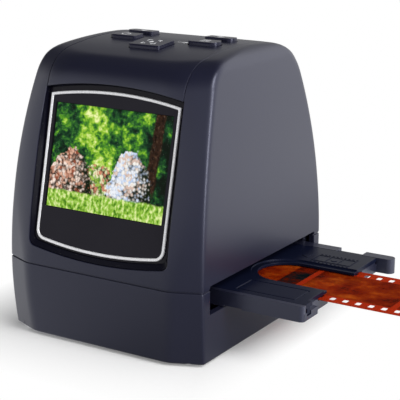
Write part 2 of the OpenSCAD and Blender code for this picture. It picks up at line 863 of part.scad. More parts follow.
box_half_w = light_w / 2 + column_wall;
box_half_d = light_d / 2 + column_wall;
box_floor = 1;
diffuser_t = 1.5;
diffuser_z = deck_z - diffuser_drop - diffuser_t;

module light_box() {
    color([0.88, 0.88, 0.86]) translate([0, axis_y, 0]) difference() {
        block([-box_half_w, -box_half_d, wall], [box_half_w, box_half_d, deck_z]);
        block([-light_w / 2, -light_d / 2, wall + box_floor], [light_w / 2, light_d / 2, deck_z + 1]);
        block([-light_w / 2 - 1, -light_d / 2 - 1, diffuser_z],
              [light_w / 2 + 1, light_d / 2 + 1, deck_z + 1]);
    }
}

module diffuser() {
    color([0.95, 0.95, 0.95]) translate([0, axis_y, diffuser_z])
        block([-light_w / 2 - 1, -light_d / 2 - 1, 0], [light_w / 2 + 1, light_d / 2 + 1, diffuser_t]);
}

module led_board() {
    color([0.9, 0.9, 0.9]) translate([0, axis_y, wall + box_floor])
        block([-light_w / 2, -light_d / 2, 0], [light_w / 2, light_d / 2, board_t]);
}

module leds() {
    led_pitch = [12, 9];
    color([0.98, 0.95, 0.7]) for (i = [-1:1], j = [-1:1])
        translate([i * led_pitch[0], axis_y + j * led_pitch[1], wall + box_floor + board_t])
            block([-1.75, -1.4, 0], [1.75, 1.4, 1]);
}

// ---- Feet and fasteners ----

module rubber_feet() {
    color([0.05, 0.05, 0.05]) at_corners(foot_x, foot_y) post(foot_r, -foot_h, foot_h);
}

module housing_screws() {
    color([0.6, 0.6, 0.62]) at_corners(case_post_x, case_post_y) mirror([0, 0, 1])
        screw(screw_r, head_r, head_h, 6 - case_post_top_z, -head_seat_z);
}

deck_head_r = 1.9;
module deck_screws() {
    color([0.6, 0.6, 0.62]) for (sx = [-1, 1], y = [deck_post_front_y, deck_post_back_y])
        translate([sx * deck_post_x, y, 0])
            screw(small_screw_r, deck_head_r, 1, deck_z - 6, deck_top_z - 1.2);
}

module optics_screws() {
    color([0.6, 0.6, 0.62]) optics_screw_each() screw(small_screw_r, 1.8, 1.2, deck_wall_z - 7, flange_top_z);
}

module board_screws() {
    color([0.6, 0.6, 0.62]) {
        for (sx = [-1, 1], y = [key_board_front_y + 3, key_board_back_y - 3])
            translate([sx * key_post_x, y, key_board_top_z - board_t]) mirror([0, 0, 1])
                screw(small_screw_r, 1.8, 1.2, -board_t - 4, 0);
        on_face() for (p = display_posts) translate([p[0], p[1], display_board_z]) mirror([0, 0, 1])
            screw(small_screw_r, 1.8, 1.2, -board_t - 2, 0);
        for (p = io_posts) translate([p[0], p[1], io_z + board_t])
            screw(small_screw_r, 1.8, 1.2, -board_t - 1, 0);
        for (p = main_screws) translate([main_x, p[0], p[1]]) rotate([0, -90, 0])
            screw(small_screw_r, 1.8, 1.2, -board_t - bracket_t, 0);
    }
}

// ---- Film tray, gate and film ----

gate_front_y = tray_front_y + front_rail_w + 0.2;
gate_back_y = tray_back_y - back_rail_w - slide_gap;
arm_x = tray_right_x - 1.7;
gate_left_x = tray_left_x + 2;
hinge_y = tray_back_y - back_rail_w / 2;
hinge_z = bed_z;
hinge_xs = [tray_left_x + 8, tray_right_x - 18];
mouth_r = mouth_w / 2;
back_x = tray_right_x + back_rail_reach;

// The mouth between the arms: a round closed end and straight sides
module mouth(g) {
    translate([mouth_x + mouth_r, axis_y]) {
        circle(r = mouth_r + g, $fn = 96);
        translate([0, -mouth_r - g]) square([far, mouth_w + 2 * g]);
    }
}

module scan_window(g) {
    translate([0, axis_y]) square([frame_l + 2 * g, frame_w + 2 * g], center = true);
}

module film_tray() {
    bed_right_x = arm_x;
    color([0.07, 0.07, 0.10]) difference() {
        union() {
            translate([0, 0, tray_z]) linear_extrude(bed_z - tray_z) difference() {
                translate([tray_left_x, tray_front_y])
                    square([bed_right_x - tray_left_x, tray_back_y - tray_front_y]);
                scan_window(0.5);
                mouth(-1);
            }
            // guides beside the film carry the gate
            block([tray_left_x, gate_front_y + 4.6, bed_z - skin],
                  [bed_right_x, axis_y - film_w / 2 - film_side_gap, gate_z]);
            block([tray_left_x, axis_y + film_w / 2 + film_side_gap, bed_z - skin],
                  [bed_right_x, gate_back_y - 1, gate_z]);
            // front rail with a round corner at its right end
            translate([0, 0, tray_z]) linear_extrude(tray_t) difference() {
                translate([tray_left_x, tray_front_y])
                    square([tray_right_x - tray_left_x, front_rail_w]);
                corner([tray_right_x - 1.6, tray_front_y + 1.6], 1.6, -90, 0);
            }
            // the end block behind the front rail, under the latch
            block([arm_x - 4, tray_front_y + 1, tray_z], [tray_right_x, tray_front_y + 11, bed_z - 0.4]);
            // back rail with a round end
            translate([0, 0, tray_z]) linear_extrude(tray_t) {
                end_r = back_rail_w / 2;
                translate([tray_left_x, tray_back_y - back_rail_w])
                    square([back_x - end_r - tray_left_x, back_rail_w]);
                translate([back_x - end_r, tray_back_y - end_r]) circle(r = end_r);
            }
        }
        // seats of the hinge barrels, and the bores of their pins
        for (x = hinge_xs) {
            block([x - seam_gap, gate_back_y - 1, hinge_z - barrel_r - seam_gap],
                  [x + barrel_l + seam_gap, tray_back_y + 1, tray_top_z + 1]);
            translate([x - 3, hinge_y, hinge_z]) rotate([0, 90, 0]) cylinder(r = pin_r, h = barrel_l + 6);
        }
        // seat of the latch tongue
        block([arm_x - 5, tray_front_y + 3, tray_z + 1.4], [tray_right_x + 1, tray_front_y + 6, bed_z + 1]);
        // detent notch under the front rail
        block([half_w, tray_front_y - 1, tray_z - 1], [half_w + 7, tray_front_y + 1, tray_z + 0.5]);
    }
}

module film_gate() {
    color([0.08, 0.08, 0.11]) difference() {
        union() {
            translate([0, 0, gate_z]) linear_extrude(gate_t) difference() {
                union() {
                    translate([gate_left_x, gate_front_y])
                        square([arm_x - gate_left_x, gate_back_y - gate_front_y]);
                    translate([arm_x - 5, gate_front_y]) square([tray_right_x - 0.2 - arm_x + 5, 5]);
                }
                mouth(0);
                scan_window(0);
            }
            // latch tongue
            block([arm_x - 4, tray_front_y + 3.4, tray_z + 1.8],
                  [tray_right_x - 0.2, tray_front_y + 5.6, gate_z + skin]);
            // hinge barrels and the lugs that carry them
            for (x = hinge_xs) {
                translate([x, hinge_y, hinge_z]) rotate([0, 90, 0]) cylinder(r = barrel_r, h = barrel_l);
                block([x, gate_back_y - 2, gate_z], [x + barrel_l, hinge_y, hinge_z + barrel_r]);
            }
        }
        for (x = hinge_xs) translate([x - 1, hinge_y, hinge_z])
            rotate([0, 90, 0]) cylinder(r = pin_r + pin_gap, h = barrel_l + 2);
        // step round the mouth, and a fine line on the front arm
        translate([0, 0, tray_top_z - 0.6]) linear_extrude(2) mouth(2.4);
        translate([0, 0, tray_top_z - 0.3]) linear_extrude(1) difference() {
            translate([43, -24.7]) square([23, 11]);
            translate([43.4, -24.3]) square([22.2, 10.2]);
        }
    }
}

module hinge_pins() {
    color([0.75, 0.75, 0.77]) for (x = hinge_xs)
        translate([x - 3, hinge_y, hinge_z]) rotate([0, 90, 0]) cylinder(r = pin_r, h = barrel_l + 6);
}

module film_strip() {
    hole_w = 2.8;
    hole_l = 1.98;
    row_half = 14.1;
    color([0.75, 0.25, 0.12]) translate([film_left_x, axis_y, film_z]) difference() {
        translate([0, -film_w / 2, 0]) cube([perforations * perforation_pitch, film_w, film_t]);
        for (i = [0:perforations - 1], side = [-1, 1])
            translate([(i + 0.5) * perforation_pitch - hole_l / 2, side * row_half - hole_w / 2, -1])
                cube([hole_l, hole_w, 2]);
    }
}

lower_housing();
upper_housing();
top_panel();
screen_bezel();
bezel_trim();
screen_window();
lcd_panel();
lcd_backlight();
lcd_flex();
display_board();
main_board();
display_ribbon();
key_ribbon();
io_board();
usb_socket();
card_socket();
av_jack();
key_board();
key_switches();
scan_key();
power_key();
mode_key();
back_key();
next_key();
optics_frame();
lens_barrel();
lens_glasses();
aperture_ring();
image_sensor();
sensor_board();
film_deck();
detent_spring();
light_box();
led_board();
leds();
diffuser();
rubber_feet();
housing_screws();
deck_screws();
optics_screws();
board_screws();
film_tray();
film_gate();
hinge_pins();
film_strip();
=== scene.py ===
import math

import bpy
import numpy as np
from mathutils import Matrix, Vector


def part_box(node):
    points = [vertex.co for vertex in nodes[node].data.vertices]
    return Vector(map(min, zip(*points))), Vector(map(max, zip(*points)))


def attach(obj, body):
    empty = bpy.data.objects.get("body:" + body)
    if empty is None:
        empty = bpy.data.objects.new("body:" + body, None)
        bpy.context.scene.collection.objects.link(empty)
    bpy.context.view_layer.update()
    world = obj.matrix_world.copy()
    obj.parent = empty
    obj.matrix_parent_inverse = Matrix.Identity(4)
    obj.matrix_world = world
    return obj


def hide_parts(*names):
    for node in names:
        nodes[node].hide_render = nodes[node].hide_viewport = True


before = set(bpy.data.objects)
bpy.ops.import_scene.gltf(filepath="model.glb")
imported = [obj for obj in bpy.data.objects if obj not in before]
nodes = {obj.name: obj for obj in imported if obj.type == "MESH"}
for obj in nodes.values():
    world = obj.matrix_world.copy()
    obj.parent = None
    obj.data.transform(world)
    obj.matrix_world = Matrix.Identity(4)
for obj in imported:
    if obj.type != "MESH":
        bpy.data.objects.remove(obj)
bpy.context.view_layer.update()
mm = 0.001

# ---------------------------------------------------------------------------------------------
# Camera and studio. The scanner stands on a plain white table in front of a white background.
# A large and a small soft lamp hang at its right, and the room is bright at the left and behind
# it, low down, so that its gloss shows soft gradients. For every ray but the camera's the table
# also glows as painted light, brightest at the left and behind, with a painted shadow of the tray
# beside the body.
camera_data = bpy.data.cameras.new("camera")
camera_data.sensor_width = 36
camera_data.lens = 114.46
camera_data.clip_start = 0.01
camera = bpy.data.objects.new("camera", camera_data)
camera_place = (249.67 * mm, -384.91 * mm, 166.54 * mm)
camera_right = Vector((0.85129, 0.52468, 0.00476))
camera_up = Vector((-0.14024, 0.21879, 0.96564))
camera_turn = Matrix((camera_right, camera_up, camera_right.cross(camera_up))).transposed()
camera.matrix_world = Matrix.Translation(camera_place) @ camera_turn.to_4x4()
bpy.context.scene.collection.objects.link(camera)
bpy.context.scene.camera = camera
bpy.context.scene.view_settings.view_transform = "Standard"


class Value:
    """A number or colour on its way through the nodes of a finish, with sums written as Python."""

    def __init__(self, finish, socket):
        self.finish = finish
        self.socket = socket

    def math(self, operation, *values):
        """One Math node on some numbers."""
        return self.finish.add("ShaderNodeMath", {"operation": operation}, dict(enumerate(values)))

    def __add__(self, other):
        return self.math("ADD", self, other)

    def __radd__(self, other):
        return self.math("ADD", other, self)

    def __sub__(self, other):
        return self.math("SUBTRACT", self, other)

    def __rsub__(self, other):
        return self.math("SUBTRACT", other, self)

    def __mul__(self, other):
        return self.math("MULTIPLY", self, other)

    def __rmul__(self, other):
        return self.math("MULTIPLY", other, self)

    def __truediv__(self, other):
        return self.math("DIVIDE", self, other)

    def __neg__(self):
        return self.math("MULTIPLY", self, -1)

    def __abs__(self):
        return self.math("ABSOLUTE", self)

    def __lt__(self, other):
        return self.math("LESS_THAN", self, other)

    def __gt__(self, other):
        return self.math("GREATER_THAN", self, other)

    def __and__(self, other):
        return self.math("MINIMUM", self, other)

    def __or__(self, other):
        return self.math("MAXIMUM", self, other)

    def root(self):
        return self.math("SQRT", self)

    def floor(self):
        return self.math("FLOOR", self)

    def wrapped(self, period):
        """The distance to the nearest multiple of a period."""
        return self.math("PINGPONG", self, period / 2)


class Finish:
    """A material on a Principled shader: constants are set on its sockets, the rest is linked."""

    def __init__(self, name, tree=None, **constants):
        if tree is None:
            self.material = bpy.data.materials.new(name)
            self.material.use_nodes = True
            tree = self.material.node_tree
        self.tree = tree
        self.shader = tree.nodes.get("Principled BSDF")
        self.output = tree.nodes.get("Material Output") or tree.nodes.get("World Output")
        for socket, value in constants.items():
            self.shader.inputs[socket.replace("_", " ")].default_value = value

    def add(self, kind, settings, inputs, output=0):
        """Adds a node: its settings first, then the values or links of its sockets."""
        node = self.tree.nodes.new(kind)
        stops = settings.pop("stops", None)
        for name, value in settings.items():
            setattr(node, name, value)
        if stops:
            ramp = node.color_ramp
            while len(ramp.elements) < len(stops):
                ramp.elements.new(0.5)
            for element, (place, colour) in zip(ramp.elements, stops):
                element.position = place
                element.color = (*colour, 1)
        for name, value in inputs.items():
            if isinstance(value, Value):
                self.tree.links.new(value.socket, node.inputs[name])
            else:
                node.inputs[name].default_value = value
        return Value(self, node.outputs[output])

    def feed(self, **values):
        """Links values that change over the surface to the shader."""
        for name, value in values.items():
            self.tree.links.new(value.socket, self.shader.inputs[name.replace("_", " ")])

    def mix(self, factor, first, second):
        """A blend of two colours, each a triple or a Value."""
        first, second = (c if isinstance(c, Value) else (*c, 1) for c in (first, second))
        return self.add("ShaderNodeMix", {"data_type": "RGBA"}, {0: factor, 6: first, 7: second}, output=2)

    def blend(self, factor, first, second):
        """A blend of two numbers."""
        return self.add("ShaderNodeMix", {}, {0: factor, 2: first, 3: second})

    def between(self, value, low, high, first, last):
        """A number that goes from first to last while a value goes from low to high."""
        return self.add("ShaderNodeMapRange", {}, {0: value, 1: low, 2: high, 3: first, 4: last})

    def step(self, value, low, high):
        """A smooth step from 0 to 1 while a value goes from low to high."""
        smooth_step = {"interpolation_type": "SMOOTHSTEP"}
        return self.add("ShaderNodeMapRange", smooth_step, {0: value, 1: low, 2: high})

    def ramp(self, factor, *stops):
        """A colour from a row of stops."""
        return self.add("ShaderNodeValToRGB", {"stops": stops}, {0: factor})

    def vector(self, x, y, z):
        """Three numbers as one vector."""
        return self.add("ShaderNodeCombineXYZ", {}, {0: x, 1: y, 2: z})

    def parts(self, vector):
        """One vector as three numbers."""
        return [self.add("ShaderNodeSeparateXYZ", {}, {0: vector}, output=axis) for axis in range(3)]

    def object_place(self):
        """Object coordinates as one vector."""
        return self.add("ShaderNodeTexCoord", {}, {}, output="Object")

    def xyz(self):
        """Object coordinates as three numbers, in millimetres."""
        in_metres = {0: self.object_place(), "Scale": 1 / mm}
        return self.parts(self.add("ShaderNodeVectorMath", {"operation": "SCALE"}, in_metres))

    def noise(self, grain, detail=2.0, stretch=(1, 1, 1)):
        """Noise between 0 and 1 whose grains are so many millimetres across."""
        place = self.object_place()
        if stretch != (1, 1, 1):
            place = self.add("ShaderNodeVectorMath", {"operation": "MULTIPLY"}, {0: place, 1: stretch})
        inputs = {"Vector": place, "Scale": 1 / mm / grain, "Detail": detail}
        return self.add("ShaderNodeTexNoise", {}, inputs)

    def bump(self, height, depth):
        """A surface that rises by so many millimetres where a value is 1."""
        inputs = {"Height": height, "Distance": depth * mm, "Strength": 1.0}
        self.feed(Normal=self.add("ShaderNodeBump", {}, inputs))


world = bpy.data.worlds.new("studio")
world.use_nodes = True
bpy.context.scene.world = world
studio = Finish("studio", tree=world.node_tree)
towards = studio.add("ShaderNodeTexCoord", {}, {}, output="Generated")
towards_x, towards_y, towards_z = studio.parts(towards)
seen = studio.add("ShaderNodeLightPath", {}, {}, output="Is Camera Ray")


def glow(kit, x, y, least, most):
    """How bright the studio is in a direction: most at the left and at the right behind. The table's
    painted glow uses it too.
    """
    side = 0.8 * y - 0.6 * x
    return kit.between(side, -1.0, 0.45, least, most) * kit.between(side, 0.45, 0.95, 1.0, 0.25)


low_down = studio.between(towards_z - 0.4 * (towards_x + 0.5), 0.2, 0.62, 1.0, 0.05)
strength = studio.blend(seen, glow(studio, towards_x, towards_y, 0.82, 2.0) * low_down, 1.0)
background = world.node_tree.nodes["Background"]
world.node_tree.links.new(strength.socket, background.inputs["Strength"])
background.inputs["Color"].default_value = (1, 1, 1, 1)

table_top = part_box("rubber_feet")[0].z
bpy.ops.object.select_all(action="DESELECT")
bpy.ops.mesh.primitive_plane_add(size=6, location=(0, 0, table_top))
table = bpy.context.object
table.name = "table"
white = Finish("table_white", Roughness=0.9, Specular_IOR_Level=0.1)
x, y, _ = white.xyz()
paper = white.noise(2, 2)
white.feed(Base_Color=white.mix(paper, (0.88, 0.88, 0.88), (0.92, 0.92, 0.92)))
eye = white.add("ShaderNodeLightPath", {}, {}, output="Is Camera Ray")
away = (x * x + y * y).root()
body_x, body_y, painted_shadow_x = 41, 46, 70
from_body = (2 * (x - body_x)) | (-x - body_x) | (abs(y) - body_y)
plain = white.between(from_body, 0, 34, 0.15, 1)
# Painted shadow: in a band under the tray and film, at the right of the body, the table's glow is dimmed.
painted_tray_shadow = white.between(abs(x - painted_shadow_x), 0, 75, 0.12, 1)
# For every ray but the camera's the table glows as painted light, brightest at the left and behind; the
# camera sees it white, with its real shadows near the body.
strength = white.blend(eye, glow(white, x / away, y / away, 0.22, 2.1) * painted_tray_shadow, 1.0)
white_and_painted_glow = white.add("ShaderNodeEmission", {}, {"Color": (1, 1, 1, 1), "Strength": strength})
veil = white.add(
    "ShaderNodeMixShader", {},
    {0: white.blend(eye, 0.6, plain), 1: Value(white, white.shader.outputs[0]), 2: white_and_painted_glow},
)
white.tree.links.new(veil.socket, white.output.inputs["Surface"])
table.data.materials.append(white.material)

for name, place, aim, size, power in (
    ("lamp", (0.75, -0.20, 0.75), (0, 0, 0.05), 0.5, 7),
    ("edge_lamp", (0.70, -0.08, 0.16), (0, 0, 0.06), 0.3, 2.8),
):
    lamp_data = bpy.data.lights.new(name, "AREA")
    lamp_data.size = size
    lamp_data.energy = power
    lamp = bpy.data.objects.new(name, lamp_data)
    lamp.location = place
    lamp.rotation_euler = (Vector(place) - Vector(aim)).to_track_quat("Z", "Y").to_euler()
    bpy.context.scene.collection.objects.link(lamp)

# ---------------------------------------------------------------------------------------------
# Housing shells. Two injection-moulded shells of blue-black plastic meet at a seam where the
# body is widest, and are held by four screws from below. Every face is bowed, and the corners
# between the front and its cheeks are rounder above the seam. Sizes are in millimetres.
half_w, front_y, back_y, top_z = 41.1, -47.7, 45.8, 103.2
seam_z = 26.1
wall = 2.2
side_r, skirt_r, rear_r, crown_r, shoulder_r = 580, 260, 185, 163, 5.5
cheek, cheek_y = math.radians(22.7), 43.3
cheek_r = 1 / (math.sin(cheek) / side_r + math.cos(cheek) / rear_r)
cheek_reach = half_w * math.sin(cheek) + cheek_y * math.cos(cheek)
lean, lean_z = math.radians(12.7), 31.2
face_proud = 1.5  # how far the leaning face stands out over the screen's recess
axis_y, polar_z = 3.4, 80.0  # the middle that the surface is looked for from


def rounded_max(a, b, k):
    """The larger of two distances, rounded over a width where they are alike."""
    h = np.maximum(k - np.abs(a - b), 0) / k
    return np.maximum(a, b) + h * h * k / 4


def filleted(a, b, r):
    """The larger of two distances, with an edge of a true radius between them."""
    u, v = np.maximum(a + r, 0), np.maximum(b + r, 0)
    return np.where(u * v > 0, np.hypot(u, v) - r, np.maximum(a, b))


def crown(y, z, inset):
    """How far points are outside the crowned top."""
    return np.hypot(y - axis_y, z - top_z + crown_r) - crown_r + inset


def outside(x, y, z, inset):
    """How far points are outside the body, drawn in by an inset."""
    x = np.abs(x)
    rise = z - seam_z
    side = np.hypot(x + side_r - half_w, rise) - side_r + inset
    skirt = np.hypot(y - skirt_r - front_y, rise) - skirt_r + inset
    leaning = (z - lean_z) * math.sin(lean) - (y - front_y) * math.cos(lean) + inset
    leaning = leaning - face_proud * (1 - inset / wall)
    rear = np.hypot(y + rear_r - back_y, rise) - rear_r + inset
    middle = cheek_reach - cheek_r
    near = np.hypot(x * math.sin(cheek) - y * math.cos(cheek) - middle, rise) - cheek_r + inset
    far = np.hypot(x * math.sin(cheek) + y * math.cos(cheek) - middle, rise) - cheek_r + inset
    crease = 0.8 + 1.5 * np.clip((z - 24) / 22, 0, 1)
    front = rounded_max(rounded_max(skirt, leaning, 2.4), near, crease)
    ends = rounded_max(front, rounded_max(rear, far, crease), 1)
    shoulder = filleted(side, z - top_z + inset, shoulder_r - inset)
    corner = (0.7 + 1.0 * np.clip((z - 20) / 30, 0, 1)) * np.clip(np.abs(y - axis_y) / 25, 0.01, 1)
    brow_round = np.where(y < axis_y, 7, 10)
    return rounded_max(rounded_max(ends, crown(y, z, inset), brow_round), shoulder, corner)


def reach(origin, way, inset):
    """Where lines from inside the body, each with its own way, come out of its surface."""
    origin = np.stack(np.broadcast_arrays(*origin), axis=-1).astype(float)
    way = np.stack(np.broadcast_arrays(*way), axis=-1)
    farthest = 120.0
    low, high = np.zeros(way.shape[:-1]), np.full(way.shape[:-1], farthest)
    for _ in range(26):
        middle = (low + high) / 2
        point = origin + way * middle[..., None]
        inside = outside(point[..., 0], point[..., 1], point[..., 2], inset) < 0
        low, high = np.where(inside, middle, low), np.where(inside, high, middle)
    return origin + way * low[..., None]


def reach_round(angles, height, slope, inset):
    """Points of the surface seen from the upright axis at one height."""
    way = (np.cos(angles) * np.cos(slope), np.sin(angles) * np.cos(slope), np.sin(slope) + 0 * angles)
    return reach((0, axis_y, height), way, inset)


def corner_angle(z, sign):
    """The direction from the axis to the edge between a side face and a cheek."""
    bow = (z - seam_z) ** 2 / 2
    x = half_w - bow / side_r
    y = sign * (cheek_reach - bow / cheek_r - x * math.sin(cheek)) / math.cos(cheek)
    return math.atan2(y - axis_y, x)


def climb(angles, height, rise, inset):
    """Slopes from the upper axis point: level at 0, to the edge of the top at 1, upright at 2."""
    low, high = 0 * angles, 0 * angles + math.pi / 2
    for _ in range(11 if rise else 0):
        edge = (low + high) / 2
        point = reach_round(angles, height, edge, inset)
        below = crown(point[..., 1], point[..., 2], inset) < -0.9
        low, high = np.where(below, edge, low), np.where(below, high, edge)
    return low * min(rise, 1) + (math.pi / 2 - low) * max(rise - 1, 0)


def lay_rows(rows):
    """Rows of points round the body, each at a height and with a climb and an inset."""
    u, v, w = np.linspace(0, 1, 45)[:-1], np.linspace(0, 1, 53)[:-1], np.linspace(0, 1, 35)
    highest_corner = 99.0
    laid = []
    for height, rise, inset in rows:
        z = height
        for _ in range(5 if rise else 0):
            corner = np.float64(corner_angle(z, -1))
            slope = climb(corner, height, rise, inset)
            z = min(float(reach_round(corner, height, slope, inset)[2]), highest_corner)
        front, rear = corner_angle(z, -1), corner_angle(z, 1)
        half = np.concatenate((
            -math.pi / 2 + (front + math.pi / 2) * (1 - (1 - u) ** 1.5),
            front + (rear - front) * (0.25 * v + 0.75 * (1 - np.cos(math.pi * v)) / 2),
            rear + (math.pi / 2 - rear) * w ** 1.5,
        ))
        angles = np.concatenate((half, (math.pi - half[::-1])[1:-1]))
        laid.append(reach_round(angles, height, climb(angles, height, rise, inset), inset))
    return np.array(laid)


same_place = 0.002 * mm


def sleeve(name, rows, ends="closed"):
    """Lays a tube of quads over rows of points in millimetres and closes its ends."""
    rows = np.array(rows, dtype=float)
    around = rows.shape[1]
    bpy.ops.object.select_all(action="DESELECT")
    bpy.ops.mesh.primitive_grid_add(x_subdivisions=around, y_subdivisions=len(rows) - 1, size=1)
    tube = bpy.context.object
    tube.name = name
    flat = np.zeros(len(tube.data.vertices) * 3)
    tube.data.vertices.foreach_get("co", flat)
    flat = flat.reshape(-1, 3)
    column = np.rint((flat[:, 0] + 0.5) * around).astype(int) % around
    row = np.rint((flat[:, 1] + 0.5) * (len(rows) - 1)).astype(int)
    tube.data.vertices.foreach_set("co", (rows[row, column] * mm).ravel())
    bpy.ops.object.mode_set(mode="EDIT")
    bpy.ops.mesh.select_all(action="SELECT")
    bpy.ops.mesh.remove_doubles(threshold=same_place)
    if ends == "closed":
        bpy.ops.mesh.select_mode(type="EDGE")
        bpy.ops.mesh.select_all(action="DESELECT")
        bpy.ops.mesh.select_non_manifold()
        bpy.ops.mesh.edge_face_add()
        bpy.ops.mesh.select_all(action="SELECT")
    bpy.ops.mesh.normals_make_consistent(inside=False)
    bpy.ops.object.mode_set(mode="OBJECT")
    return tube


def only(piece):
    """Selects one piece alone."""
    bpy.ops.object.select_all(action="DESELECT")
    piece.select_set(True)
    bpy.context.view_layer.objects.active = piece


def modify(piece, kind, **settings):
    """Applies a modifier to a piece."""
    only(piece)
    modifier = piece.modifiers.new(kind, kind)
    for name, value in settings.items():
        setattr(modifier, name, value)
    bpy.ops.object.modifier_apply(modifier=modifier.name)


def cut(piece, *cutters, operation="DIFFERENCE"):
    """Cuts a piece with others, or joins them to it, and removes them."""
    for cutter in cutters:
        modify(piece, "BOOLEAN", operation=operation, solver="MANIFOLD", object=cutter)
        bpy.data.objects.remove(cutter)


def smooth(piece, degrees=30):
    """Shades a piece smooth, with its large faces kept even."""
    only(piece)
    bpy.ops.object.shade_smooth_by_angle(angle=math.radians(degrees))
    modify(piece, "WEIGHTED_NORMAL", keep_sharp=True)


def round_angles(sides):
    return np.linspace(0, 2 * math.pi, sides + 1)[:-1]


def rod(name, radius, low, high, sides):
    """A round bar between two points in millimetres."""
    low, high = Vector(low), Vector(high)
    side = (high - low).orthogonal().normalized()
    other = (high - low).normalized().cross(side)
    return sleeve(name, [
        [end + radius * (math.cos(a) * side + math.sin(a) * other) for a in round_angles(sides)]
        for end in (low, high)
    ])


def flared(name, axes, origin, outline, depths):
    """A cutter whose outline opens at the surface: one ring for each depth and growth."""
    across, up, out = axes
    origin = Vector(origin)
    return sleeve(name, [
        [origin + across * x + up * y + out * depth for x, y in outline(growth)]
        for depth, growth in depths
    ])


quarters = ((1, 1, 0), (-1, 1, 90), (-1, -1, 180), (1, -1, 270))


def quarter_turn(x, y, radius, start, count):
    """Points on a quarter of a circle, from a direction in degrees."""
    return [
        (x + radius * math.cos(a), y + radius * math.sin(a))
        for a in np.radians(np.linspace(start, start + 90, count))
    ]


def rectangle(low, high, radius):
    """An outline function for a rectangle with rounded corners."""
    def outline(growth):
        points = []
        for sx, sy, start in quarters:
            x = (high[0] if sx > 0 else low[0]) - sx * radius
            y = (high[1] if sy > 0 else low[1]) - sy * radius
            points += quarter_turn(x, y, max(radius + growth, 0.01), start, 7)
        return points
    return outline


x_axis, y_axis, z_axis = Vector((1, 0, 0)), Vector((0, 1, 0)), Vector((0, 0, 1))
up_face = Vector((0, math.sin(lean), math.cos(lean)))
out_of_face = Vector((0, -math.cos(lean), math.sin(lean)))
screen_z = 64.6
screen_middle = Vector((0, front_y + (screen_z - lean_z) * math.tan(lean), screen_z))
recess_r, recess_half_w, recess_up, recess_down, recess_corner = 146.0, 28.5, 27.2, 32.6, 2.5


def recess_outline():
    """The screen recess in the plane of the leaning face: arched above and below."""
    corner_x = recess_half_w - recess_corner
    low_middle = recess_r - recess_down
    corner_y = low_middle - math.sqrt((recess_r - recess_corner) ** 2 - corner_x ** 2)
    corner_end = math.atan2(corner_y - low_middle, corner_x)
    high_middle = recess_up - recess_r
    top_y = high_middle + math.sqrt(recess_r ** 2 - recess_half_w ** 2)
    points = [(recess_half_w, y) for y in np.linspace(top_y, corner_y, 17)[:-1]]
    points += [
        (corner_x + recess_corner * math.cos(a), corner_y + recess_corner * math.sin(a))
        for a in np.linspace(0, corner_end, 8)
    ]
    points += [
        (x, low_middle - math.sqrt(recess_r ** 2 - x * x)) for x in np.linspace(points[-1][0], 0, 17)[1:]
    ]
    points += [(-x, y) for x, y in points[-2::-1]]
    return points + [
        (x, high_middle + math.sqrt(recess_r ** 2 - x * x))
        for x in np.linspace(-recess_half_w, recess_half_w, 33)[1:-1]
    ]


def recess_ring(sideways, down, up, depth, near_face):
    """The recess's outline, widened at the sides, the bottom and the top, and put at a depth.

    The depth is counted outwards, from the bowed face or from the flat plane in it.
    """
    ring = []
    for x, y in recess_outline():
        narrowing = 1 - 0.75 * min(max(y - 4, 0) / 20, 1)
        wide_x = x * (1 + sideways / recess_half_w * narrowing)
        wide_y = y - down * min(max(-y - 5, 0) / 22, 1) + up * min(max(y, 0) / 20, 1)
        ring.append(screen_middle + x_axis * wide_x + up_face * wide_y)
    if near_face:
        below_face = np.array([place - out_of_face for place in ring])
        ring = [Vector(place) for place in reach(below_face.T, tuple(out_of_face), 0)]
    return [place + out_of_face * depth for place in ring]


def recess_cutter():
    """A cutter for the recess: down through the wall, with a ledge, and a rounded edge at the face."""
    return sleeve("recess", [recess_ring(*sizes) for sizes in (
        (0, 0, 0, -wall - 3, False), (0, 0, 0, -1.24, False),
        (0.8, 2.0, 0.1, -1.2, False), (0.8, 2.0, 0.1, -0.3, True),
        (0.85, 2.05, 0.15, -0.12, True), (1.0, 2.2, 0.3, 0, True),
        (1.3, 2.5, 0.6, 0.15, True), (4, 5.2, 3.3, 3, True),
    )])


slot_half_w, slot_z, slot_h = 38.6, 17.6, 10


def slot_cutter():
    """A cutter for the slot, with a rounded edge at both side faces."""
    edges = ((40.8, 0), (41, 0.1), (41.15, 0.25), (43, 2.1))
    return flared(
        "slot", (y_axis, z_axis, x_axis), (0, 0, 0),
        rectangle((-slot_half_w, slot_z), (slot_half_w, slot_z + slot_h), 0.3),
        [(-x, growth) for x, growth in edges[::-1]] + list(edges),
    )


turn = np.radians(np.linspace(0, 90, 6))
lower_rows = [(0.8 * (1 - math.sin(a)), 0, 0.8 * (1 - math.cos(a))) for a in turn[::-1]]
lower_rows += [(z, 0, 0) for z in np.linspace(0.8, seam_z - 0.25, 14)[1:]]
lower_rows += [(seam_z - 0.08, 0, 0.07), (seam_z, 0, 0.25), (seam_z, 0, wall)]
lower_rows += [(z, 0, wall) for z in (18, 10, wall)]
lower_shell = sleeve("lower_shell", lay_rows(lower_rows))

rises = np.concatenate((1 + np.linspace(1, 0, 30)[:-1] ** 1.6, 1 - np.linspace(0, 1, 26) ** 1.6))
upper_rows = [(polar_z, rise, 0) for rise in rises]
upper_rows += [(z, 0, 0) for z in np.linspace(polar_z, seam_z + 0.85, 30)[1:]]
upper_rows += [(seam_z + 0.62, 0, 0.06), (seam_z + 0.5, 0, 0.25), (seam_z + 0.4, 0, 0.5), (seam_z, 0, 0.5)]
upper_rows += [(z, 0, wall) for z in np.linspace(seam_z, polar_z, 10)]
upper_rows += [(polar_z, rise, wall) for rise in rises[::-3]]
upper_shell = sleeve("upper_shell", lay_rows(upper_rows))

